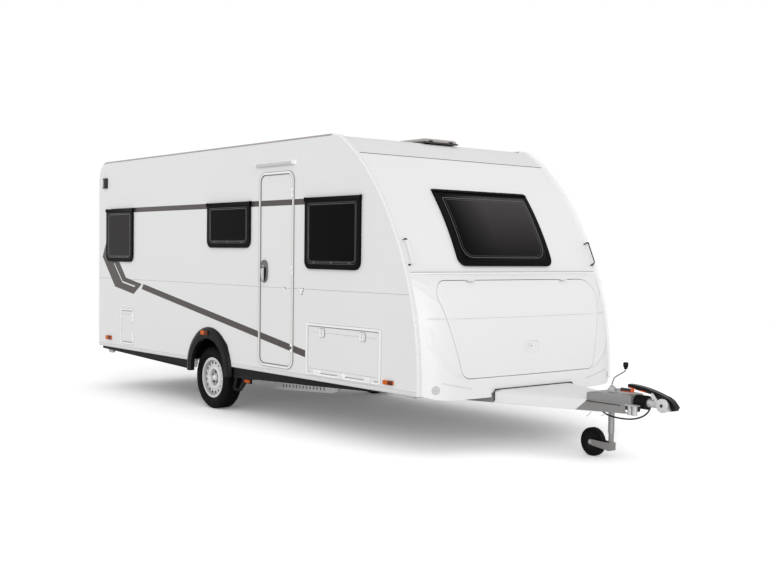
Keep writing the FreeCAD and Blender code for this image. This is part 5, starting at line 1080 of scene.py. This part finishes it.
# Each row: piece, finish, body, slot, softened edge, then blocks by their two sides, foot, head
# and face. All stand on the same level of the wall.
CATCH_FOOT = 1.159
CATCH_ROWS = (
    ("door_catch", trim_white, "entrance_door", "moulded_white", 0.003,
     (1.316, 1.366, 1.244, 1.256, 1.1725), (1.333, 1.349, 1.222, 1.246, 1.1700)),
    # Grey plates, a little larger than the catch and its keeper and set behind them, are painted shadow
    # round their edges.
    ("door_catch_pad", seal_grey, "entrance_door", "rubber_black", 0.001,
     (1.313, 1.369, 1.241, 1.259, 1.1625)),
    ("door_keeper_pad", seal_grey, "caravan", "rubber_black", 0.001,
     (1.589, 1.653, 1.233, 1.258, 1.1630), (1.607, 1.635, 1.202, 1.236, 1.1630)),
    ("door_catch_keeper", trim_white, "caravan", "moulded_white", 0.004,
     (1.592, 1.650, 1.236, 1.255, 1.1760), (1.610, 1.632, 1.205, 1.240, 1.1740)),
)
for name, finish, body, slot, soften, *blocks in CATCH_ROWS:
    form = Form()
    for x0, x1, foot, head, face in blocks:
        form.block((x0, -face, foot), (x1, -CATCH_FOOT, head), soften)
    form.piece(name, finish, body, slot)


# Awning lamp over the door: a wedge of white moulded plastic, screwed to the wall, whose
# underside is a ribbed pale lens.

awning_lens = Finish("awning_lens", (0.80, 0.80, 0.80), 0.3)
x, _, z = awning_lens.place()
under = (z < 2.3890) & (x > 0.905) & (x < 1.480)
ribs = (x % 0.010) > 0.005
ribbed = awning_lens.mix(ribs, (0.74, 0.73, 0.73), (0.56, 0.55, 0.55))
awning_lens.set(Base_Color=awning_lens.mix(under, (0.93, 0.93, 0.93), ribbed))
awning_lens.bump(ribs & under, 0.4, 0.002).coat("awning_lamp")


# Hatches: panels of the wall's own sandwich board in white moulded frames. The service hatch
# folds down on three hinge blocks and has two square lock plates on one fine pressed line; the
# toilet hatch has two small dark locks.

panel_line = Finish("panel_line", (0.40, 0.40, 0.40), 0.5).roughen(50.0, 0.2, 0.4)
LOCK_LEVEL = 0.883
LINE = flat_section(0.0030)
FRAME_EDGE = [(-0.0010, 1.1590), (-0.0010, 1.1622), (0.0022, 1.1618), (0.0022, 1.1590)]
PLATE = [(-0.004, 1.1655), (-0.003, 1.1685), (0.001, 1.1685), (0.002, 1.1600)]
PLATE_SEAL = [(-0.002, 1.1600), (-0.002, 1.1650), (0.001, 1.1650), (0.001, 1.1600)]
painted_rim_shade_and_door_lines = Form()
for x0, x1, foot, head in ((1.765, 1.894, LOCK_LEVEL - 0.0011, LOCK_LEVEL + 0.0011),
                           (1.974, 2.456, LOCK_LEVEL - 0.0011, LOCK_LEVEL + 0.0011),
                           (2.536, 2.675, LOCK_LEVEL - 0.0011, LOCK_LEVEL + 0.0011),
                           (1.745, 2.694, 0.5640, 0.5665)):
    painted_rim_shade_and_door_lines.block((x0, -LINE_FACE, foot), (x1, -LINE_BACK, head))
painted_rim_shade_and_door_lines.moulding(rounded_path(1.7265, 0.5255, 2.7125, 0.9325, 0.020), LINE, on_right)
painted_rim_shade_and_door_lines.piece("service_door_lines", panel_line, "service_door", "shell_white")
hatch_edges = Form()
hatch_edges.moulding(rounded_path(1.7005, 0.5085, 2.7385, 0.9585, 0.035), FRAME_EDGE, on_right)
hatch_edges.moulding(rounded_path(-1.9205, 0.5235, -1.5945, 0.9225, 0.030), FRAME_EDGE, on_right)
hatch_edges.piece("hatch_frame_seals", panel_line, slot="rubber_black")
plates = Form()
slots = Form()
for x in (1.934, 2.496):
    for form, half, radius, section in ((plates, 0.034, 0.014, PLATE), (slots, 0.037, 0.016, PLATE_SEAL)):
        outline = rounded_path(x - half, LOCK_LEVEL - half, x + half, LOCK_LEVEL + half, radius, steps=5)
        form.moulding(outline, section, on_right)
    plates.rod((x, -1.1655, LOCK_LEVEL - 0.004), (x, -1.1690, LOCK_LEVEL - 0.004), 0.013, 24, 0.012)
    slots.rod((x, -1.1685, LOCK_LEVEL - 0.004), (x, -1.1696, LOCK_LEVEL - 0.004), 0.0055, 18)
    slots.block((x - 0.0085, -1.1666, LOCK_LEVEL + 0.015), (x + 0.0085, -1.1655, LOCK_LEVEL + 0.018))
for x in (1.870, 2.220, 2.570):
    plates.block((x - 0.045, -1.1690, 0.5290), (x + 0.045, -1.1590, 0.5560), 0.004)
plates.piece("service_locks", trim_white, "service_door", "moulded_white")
slots.piece("service_keyways", seal_grey, "service_door", "moulded_white")
toilet_locks = Form()
for z in (0.822, 0.630):
    toilet_locks.rod((-1.872, -1.1595, z), (-1.872, -1.1635, z), 0.0095, 20, 0.0085)
toilet_locks.piece("toilet_locks", seal_grey, "toilet_door", "moulded_white")
toilet_lines = Form().moulding(rounded_path(-1.8945, 0.5495, -1.6115, 0.8965, 0.018), LINE, on_right)
toilet_lines.block((-1.862, -LINE_FACE, 0.8560), (-1.650, -LINE_BACK, 0.8585))
toilet_lines.block((-1.640, -LINE_FACE, 0.5800), (-1.637, -LINE_BACK, 0.8560))
toilet_lines.piece("toilet_door_lines", panel_line, "toilet_door", "shell_white")


# Lamps: moulded acrylic lenses, screwed on. Amber side markers have a dark front half, black
# outline lamps a pale lens strip. Round clear reflectors face ahead, and the rear lamps are in
# red, amber and clear bands.

marker_lens = Finish("marker_lens", (0.66, 0.13, 0.005), 0.18, Specular_IOR_Level=0.15)
x, _, z = marker_lens.place()
dark_half = x.near(2.8700, 0.060) | x.near(-2.1800, 0.066) | x.near(0.0300, 0.066)
prisms = (z % 0.006) / 0.006
marker_lens.set(Base_Color=marker_lens.mix(dark_half, (0.64, 0.115, 0.001), (0.13, 0.018, 0.002)))
marker_lens.bump(prisms, 0.4, 0.0015).coat("side_markers")

outline_lens = Finish("outline_lens", (0.02, 0.02, 0.02), 0.3, Specular_IOR_Level=0.2)
x, _, z = outline_lens.place()
strip = (x < -2.3300) & z.near(2.342, 0.092)
ribbed = outline_lens.mix((z % 0.008) > 0.004, (0.66, 0.66, 0.67), (0.48, 0.48, 0.49))
outline_lens.set(Base_Color=outline_lens.mix(strip, (0.004, 0.004, 0.004), ribbed))
outline_lens.bump(strip, 0.5, 0.002).coat("outline_lamps")

clear_prism = Finish("clear_prism", (0.70, 0.70, 0.71), 0.2, Coat_Weight=0.4)
_, y, z = clear_prism.place()
off_y, off_z = y.size() - 1.030, z - 0.512
out = (off_y * off_y + off_z * off_z).root()
cross = (off_y.size() < 0.0025) | (off_z.size() < 0.0025)
cross = (cross & (out < 0.022)) | out.near(0.0245, 0.0035) | out.near(0.0325, 0.0030)
grid = chequer(y, z, 0.006)
pale = clear_prism.mix(grid, (0.72, 0.72, 0.73), (0.60, 0.60, 0.61))
clear_prism.set(Base_Color=clear_prism.mix(cross, pale, (0.44, 0.44, 0.45)))
clear_prism.bump(grid, 0.5, 0.001).coat("front_reflectors")

rear_lens = Finish("rear_lens", (0.55, 0.01, 0.01), 0.15, Coat_Weight=0.5)
_, y, z = rear_lens.place()
amber = z.near(0.705, 0.066)
clear = z.near(0.640, 0.056)
rim = z.near(0.710, 0.284) & y.size().near(0.970, 0.204)
shade = rear_lens.mix(amber, (0.50, 0.008, 0.006), (0.80, 0.20, 0.01))
shade = rear_lens.mix(clear, shade, (0.62, 0.62, 0.63))
rear_lens.set(Base_Color=rear_lens.mix(rim | (z > 2.0), (0.012, 0.012, 0.012), shade))
rear_lens.bump(chequer(z, y, 0.008) + rim, 0.4, 0.0015).coat("rear_lamps")


# Rooflights: smoked acrylic domes in dark plastic frames, screwed over openings in the roof.
# Each dome has a raised ring and stands on four lugs.

smoked = Finish("smoked_acrylic", (0.19, 0.175, 0.17), 0.16, Specular_IOR_Level=0.2, Coat_Weight=0.06)
_, _, z = smoked.place()
dome = smoked.mix(smoked.noise(6.0), (0.37, 0.345, 0.335), (0.43, 0.405, 0.395))
smoked.set(Base_Color=smoked.mix(z < 2.586, dome, (0.05, 0.048, 0.048)))
smoked.roughen(14.0, 0.1, 0.12).coat("rooflights")
DOMES = ((1.765, 2.155, 0.205), (-0.455, 0.175, 0.295), (-1.865, -1.455, 0.205))
DOME_RING = [(-0.010, 2.606), (-0.006, 2.6150), (0.006, 2.6150), (0.010, 2.606)]
domes = Form()
lugs = Form()
for x0, x1, half in DOMES:
    inset = rounded_path(x0 + 0.075, -half + 0.075, x1 - 0.075, half - 0.075, 0.045)
    domes.moulding(inset, DOME_RING, here)
    for y in (-half * 0.6, half * 0.6):
        for low, high in ((x0 + 0.004, x0 + 0.030), (x1 - 0.030, x1 - 0.004)):
            lugs.block((low, y - 0.022, 2.576), (high, y + 0.022, 2.5975), 0.003)
domes.piece("dome_rings", smoked, slot="roof_dome")
lugs.piece("dome_hinges", black_plastic, slot="black_plastic")


# Left wall fittings: two slatted refrigerator vents, a mains inlet under a flap and a water
# filler with a lock, all of white moulded plastic.

slat = Form().prism([(0, 0), (0.0055, -0.0035), (0.0055, 0.0005), (0, 0.0060)], 0.0, 0.420,
                    lambda u, v, h: Vector((h, u, v)))
SLAT_PITCH = 0.014
VENT_RIM = [(-0.005, 1.173), (-0.004, 1.1815), (0.003, 1.1815), (0.005, 1.173)]
FLAP_RIM = [(-0.005, 1.181), (-0.004, 1.1845), (0.002, 1.1845), (0.004, 1.181)]
on_left = on_side(LEFT)
slats = []
# A black sheet behind each vent's slats is painted shade, standing for the dark opening behind them.
slat_shade = Form()
vent_rims = Form()
for low in (0.560, 1.150):
    lowest = Matrix.Translation(here(1.000, 1.1745, low + 0.024))
    slats.append(in_line.made(slat, trim_white, lowest, Count=10, Step=(0.0, 0.0, SLAT_PITCH)))
    slat_shade.block((0.996, 1.1735, low + 0.014), (1.424, 1.1748, low + 0.166))
    vent_rims.moulding(rounded_path(0.988, low + 0.008, 1.432, low + 0.172, 0.012), VENT_RIM, on_left)
vent_rims.rod((-1.300, 1.178, 0.700), (-1.300, 1.1860, 0.700), 0.036, 32, 0.033)
vent_rims.block((-1.304, 1.1855, 0.676), (-1.296, 1.1885, 0.724), 0.001)
vent_rims.moulding(rounded_path(-1.004, 0.606, -0.896, 0.734, 0.012), FLAP_RIM, on_left)
vent_rims.block((-0.972, 1.181, 0.612), (-0.928, 1.1880, 0.622), 0.003)
joined("vent_slats", slats, trim_white, "caravan")
slat_shade.piece("vent_backs", seal_black, slot="moulded_white")
vent_rims.piece("wall_fitting_rims", trim_white, slot="moulded_white")


# Grab handles: slim bars of white moulded plastic at the corners, screwed on at both ends, with
# black caps at their top ends. Black bands at their lower ends and along the inner edge are painted
# shade.

handle_white = Finish("handle_white", (0.82, 0.82, 0.82), 0.3)
x, y, z = handle_white.place()
# Black on the top caps; the black lower bands and the inner edge, facing the wall, are painted shade.
inner = (y.size() < 1.0955) & (x > 0.0)
top_caps_and_painted_shade = (z > 1.684) | z.near(1.486, 0.016) | inner | (z.near(1.380, 0.016) & (x < 0.0))
handle_white.set(Base_Color=handle_white.mix(top_caps_and_painted_shade, (0.82, 0.82, 0.82), (0.010, 0.010, 0.010)))
handle_white.roughen(40.0, 0.12, 0.26).coat("grab_handles")


# Floor and gas locker: plywood boards bonded to the floor's foam, sealed dark underneath, and
# a box of white board screwed in behind the nose.

ply_board = Finish("ply_board", (0.055, 0.050, 0.045), 0.7)
grain = ply_board.noise(9.0, 4.0, (1.0, 14.0, 14.0))
ply_board.set(Base_Color=ply_board.mix(grain, (0.035, 0.032, 0.029), (0.085, 0.075, 0.065)))
ply_board.bump(grain, 0.3, 0.002).coat("floor_panel")
locker_board = Finish("locker_board", (0.62, 0.62, 0.60), 0.6)
locker_board.mottle(3.0, (0.58, 0.58, 0.56), (0.66, 0.66, 0.64))
locker_board.grain(240.0, 0.3, 0.001).coat("gas_locker_box")


# Drawbar cover: one vacuum-formed shell of pale grained plastic with a rubber strip where it
# meets the locker moulding.

cover_white = Finish("cover_white", (0.72, 0.72, 0.73), 0.42)
cover_white.mottle(2.5, (0.77, 0.77, 0.78), (0.81, 0.81, 0.815)).roughen(8.0, 0.12, 0.36)
cover_white.grain(500.0, 0.12, 0.0005).coat("drawbar_cover")
STRIP = [(-0.473, 0.400), (-0.4725, 0.470), (-0.462, 0.4885), (0.462, 0.4885), (0.4725, 0.470),
         (0.473, 0.400)]
cover_strip = Form().sweep([(3.3430, y, z) for y, z in STRIP], 0.0055, 10)
cover_strip.piece("cover_strip", seal_black, slot="rubber_black")


# Overrun hitch: a pressed steel housing, a ribbed rubber bellows and a cast coupling head with
# friction discs, each under a cap. The lever over it is glass-filled nylon with orange marks.

cast_grey = Finish("cast_grey", (0.27, 0.265, 0.265), 0.42, metallic=0.35)
cast_grey.mottle(18.0, (0.24, 0.235, 0.235), (0.31, 0.305, 0.305)).roughen(35.0, 0.18, 0.34)
cast_grey.grain(260.0, 0.25, 0.0006)
BEND_RADIUS = 0.010
housing = bmesh.new()
housing.from_mesh(nodes["overrun_housing"].data)
bmesh.ops.remove_doubles(housing, verts=housing.verts, dist=1e-5)
bmesh.ops.dissolve_limit(housing, angle_limit=math.radians(2), verts=housing.verts, edges=housing.edges)
bends = [e for e in housing.edges if len(e.link_faces) == 2 and e.calc_face_angle() > math.radians(28)
         and (e.verts[0].co.z + e.verts[1].co.z) / 2 > 0.45 and e.calc_length() > 0.02]
bmesh.ops.bevel(housing, geom=bends, offset=BEND_RADIUS, segments=4, profile=0.5, affect="EDGES",
                clamp_overlap=True)
housing_form = Form()
housing_form.bm = housing
housing_form.piece("pressed_housing", cast_grey, slot="cast_grey", stands_for=["overrun_housing"])
housing_seams = Form()
for side in (RIGHT, LEFT):
    housing_seams.sweep([(4.046, side * 0.1985, 0.4600), (4.386, side * 0.1985, 0.4600)], 0.0036, 8)
housing_seams.piece("housing_seams", seal_black, slot="rubber_black")

HITCH_AXIS = 0.476
folds = [(4.3925, 0.0150), (4.3925, 0.0520), (4.3975, 0.0540)]
for i in range(7):
    x = 4.4010 + i * 0.0138
    folds += [(x, 0.0520), (x + 0.0045, 0.0390), (x + 0.0090, 0.0520), (x + 0.0115, 0.0535)]
folds += [(4.4985, 0.0470), (4.4995, 0.0150)]
bellows_rubber = Finish("bellows_rubber", (0.006, 0.006, 0.006), 0.5, Specular_IOR_Level=0.18,
                        Coat_Weight=0.05)
bellows_rubber.roughen(50.0, 0.2, 0.38)
bellows = Form().lathe(folds, lambda a, c, u: here(a, c, HITCH_AXIS + u), sides=48)
bellows.piece("ribbed_bellows", bellows_rubber, slot="rubber_black", stands_for=["bellows"])

coupling_silver = Finish("coupling_silver", (0.62, 0.62, 0.62), 0.38, metallic=0.45)
coupling_silver.mottle(26.0, (0.50, 0.50, 0.50), (0.70, 0.70, 0.70))
coupling_silver.grain(180.0, 0.35, 0.0008).coat("coupling_head")
FRICTION_X = 4.660
CAP = [(0.0580, 0.0001), (0.0580, 0.0500), (0.0605, 0.0505), (0.0640, 0.0480), (0.0655, 0.0420),
       (0.0660, 0.0001)]
CAP_CENTRE = [(0.0650, 0.0001), (0.0650, 0.0125), (0.0685, 0.0120), (0.0690, 0.0001)]
LINK = [(4.628, 0.500), (4.574, 0.556), (4.562, 0.560), (4.553, 0.552), (4.556, 0.541), (4.612, 0.480)]
disc_caps = Form()
disc_centres = Form()
for side in (RIGHT, LEFT):
    disc_caps.lathe(CAP, around(FRICTION_X, HITCH_AXIS, side), sides=56)
    disc_centres.lathe(CAP_CENTRE, around(FRICTION_X, HITCH_AXIS, side), sides=28)
    disc_caps.prism(LINK, 0.0460, 0.0545, on_side(side), soften=0.002)
disc_white = Finish("disc_white", (0.66, 0.66, 0.67), 0.32, metallic=0.25).roughen(30.0, 0.15, 0.26)
disc_caps.piece("disc_caps", disc_white, slot="cast_grey")
disc_centres.piece("disc_centres", seal_black, slot="black_plastic")

lever_black = Finish("lever_black", (0.007, 0.007, 0.007), 0.36, Specular_IOR_Level=0.15)
lever_black.roughen(60.0, 0.18, 0.28)
lever_black.grain(500.0, 0.2, 0.0004).coat("stabiliser_lever")
ORANGE = (0.72, 0.10, 0.006)
orange_plastic = Finish("orange_plastic", ORANGE, 0.42).roughen(70.0, 0.15, 0.34)
lever_marks = Form()
lever_marks.sweep([(4.332, -0.0265, 0.5790), (4.400, -0.0265, 0.5700)], 0.0038, 8)
lever_marks.sweep([(4.430, -0.0268, 0.5640), (4.492, -0.0268, 0.5560)], 0.0040, 8)
lever_marks.piece("lever_marks", orange_plastic, slot="lamp_amber")


# Handbrake: a bar of zinc-plated steel with a black plastic grip, orange beneath and at its
# end, held in a quadrant of two toothed plates.

brake_lever = Finish("brake_lever", (0.55, 0.56, 0.57), 0.4)
x, _, z = brake_lever.place()
grip = (x > 4.290) & (z > 0.52)
marked = grip & ((z < 0.5545) | (x > 4.3885))
bar = brake_lever.mix(grip, (0.56, 0.57, 0.58), (0.010, 0.010, 0.010))
brake_lever.set(Base_Color=brake_lever.mix(marked, bar, ORANGE), Metallic=(1 - grip) * 0.5)
brake_lever.roughen(40.0, 0.15, 0.34).coat("handbrake")
turns = [math.radians(degrees) for degrees in range(0, 181, 12)]
quadrant = [(4.205 + 0.034 * math.cos(t), 0.535 + 0.040 * math.sin(t)) for t in turns]
ratchet = Form()
for near, far in ((0.0795, 0.0845), (0.0425, 0.0465)):
    ratchet.prism(quadrant, near, far, on_right, soften=0.001)
ratchet.rod((4.216, -0.0425, 0.552), (4.216, -0.0865, 0.552), 0.0050, 6)
ratchet.piece("brake_quadrant", zinc, slot="galvanised")


# Jockey wheel: a zinc tube and crank with a black grip, and a solid rubber wheel on a ribbed
# plastic hub, bolted between two flat fork arms.

crank_finish = Finish("crank_zinc", (0.60, 0.60, 0.61), 0.36)
_, _, z = crank_finish.place()
black_end = z > 0.708
tube = crank_finish.mix(crank_finish.noise(8.0), (0.28, 0.28, 0.285), (0.44, 0.44, 0.445))
crank_finish.set(Base_Color=crank_finish.mix(black_end, tube, (0.010, 0.010, 0.010)),
                 Metallic=(1 - black_end) * 0.9)
crank_finish.roughen(30.0, 0.15, 0.32).coat("jockey_outer_tube")
KNOB_X = 4.278
KNOB = [(0.7120, 0.0001), (0.7120, 0.0138), (0.7240, 0.0142), (0.7300, 0.0190), (0.7340, 0.0200),
        (0.7560, 0.0200), (0.7625, 0.0170), (0.7640, 0.0001)]
knob = Form().lathe(KNOB, lambda a, c, u: here(KNOB_X + c, u, a), sides=10)
knob.piece("crank_grip", black_plastic, slot="black_plastic")

JOCKEY_X, JOCKEY_Z = 3.974, 0.1125
jockey_rubber = Finish("jockey_rubber", (0.006, 0.006, 0.006), 0.6, Specular_IOR_Level=0.08)
x, _, z = jockey_rubber.place()
hub_x, hub_z = x - JOCKEY_X, z - JOCKEY_Z
out = (hub_x * hub_x + hub_z * hub_z).root()
ridges = out.near(0.096, 0.002) | out.near(0.086, 0.002) | out.near(0.066, 0.003)
jockey_rubber.set(Base_Color=jockey_rubber.mix(out < 0.064, (0.005, 0.005, 0.005), (0.009, 0.009, 0.009)))
jockey_rubber.roughen(60.0, 0.2, 0.42)
jockey_rubber.bump(ridges * -1.0 + jockey_rubber.noise(240.0) * 0.2, 0.5, 0.0015).coat("jockey_wheel")
for side, name in SIDES:
    pin = Form()
    for near, far, radius, sides in ((0.0370, 0.0395, 0.0135, 28), (0.0390, 0.0455, 0.0085, 6)):
        pin.rod((JOCKEY_X, side * near, JOCKEY_Z), (JOCKEY_X, side * far, JOCKEY_Z), radius, sides)
    pin.piece("jockey_axle_" + name, zinc, "jockey_fork", "galvanised")


# Towing lead: a black sheathed cable that hangs from the hitch housing to the coupling head,
# clipped at both ends.

LEAD = [(4.100, -0.095, 0.456), (4.112, -0.095, 0.392), (4.180, -0.090, 0.352), (4.300, -0.084, 0.341),
        (4.400, -0.074, 0.345), (4.470, -0.048, 0.366), (4.508, -0.012, 0.405), (4.515, 0.0, 0.4424)]
lead_curve = bpy.data.curves.new("towing_lead", "CURVE")
lead_curve.dimensions = "3D"
lead_curve.bevel_depth = 0.0065
lead_curve.bevel_resolution = 4
lead_curve.use_fill_caps = True
spline = lead_curve.splines.new("NURBS")
spline.points.add(len(LEAD) - 1)
for point, place in zip(spline.points, LEAD):
    point.co = (*here(*place), 1.0)
spline.order_u = 3
spline.use_endpoint_u = True
spline.resolution_u = 8
lead_rubber = Finish("lead_rubber", (0.012, 0.012, 0.012), 0.5).roughen(90.0, 0.2, 0.4)
lead_curve.materials.append(lead_rubber.material)
lead = put("towing_lead", lead_curve)
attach(lead, "caravan")
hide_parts("breakaway_lead")
tuple(here(*LEAD[0]))


# Small chassis parts seen below the skirts: zinc-plated brackets bolted on behind the wheels,
# guides of the rear steadies, and a plate with a row of pierced holes that stiffens each rail.

AXLE_BRACKET = [(-1.140, 0.405), (-1.140, 0.340), (-1.095, 0.300), (-1.020, 0.300), (-0.985, 0.345),
                (-0.985, 0.405)]
STEADY_GUIDE = [(-2.356, 0.462), (-2.356, 0.396), (-2.335, 0.384), (-2.265, 0.384), (-2.239, 0.400),
                (-2.239, 0.462)]
STIFFENER = [(0.540, 0.294), (0.540, 0.226), (0.725, 0.234), (1.437, 0.277), (1.560, 0.300),
             (1.560, 0.372), (1.440, 0.341)]
brackets = Form()
stiffeners = Form()
for side in (RIGHT, LEFT):
    brackets.prism(AXLE_BRACKET, 0.7005, 0.7065, on_side(side), soften=0.001)
    for x in (-1.120, -1.005):
        brackets.rod((x, side * 0.7060, 0.385), (x, side * 0.7130, 0.385), 0.0090, 6)
    brackets.prism(STEADY_GUIDE, 1.0700, 1.1000, on_side(side), soften=0.003)
    stiffeners.prism(STIFFENER, 0.7005, 0.7045, on_side(side), soften=0.001)
brackets.piece("axle_brackets", zinc, slot="galvanised")
# The stiffeners share the rails' paler zinc and its painted light.
stiffeners.piece("rail_stiffeners", rail_zinc, slot="galvanised")
# The pierced holes are thin near-black ovals on the plates, painted shade in place of openings.
pierced = Form().prism(oval(0, 0, 0.0070, 0.0160, 20), 0.0, 0.0012, lambda u, v, h: Vector((u, h, v)))
HOLE_PITCH = 0.056
PLATE_SLOPE = -0.0525
hole_rows = []
for side in (RIGHT, LEFT):
    seat = Matrix.Translation(here(0.680, side * 0.7045, 0.270)) @ Matrix.Rotation(PLATE_SLOPE, 4, "Y") \
        @ Matrix.Scale(side, 4, Vector((0, 1, 0)))
    hole_rows.append(in_line.made(pierced, seal_black, seat, Count=13, Step=(HOLE_PITCH, 0.0, 0.0)))
joined("rail_holes", hole_rows, seal_black, "caravan")


low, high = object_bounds()
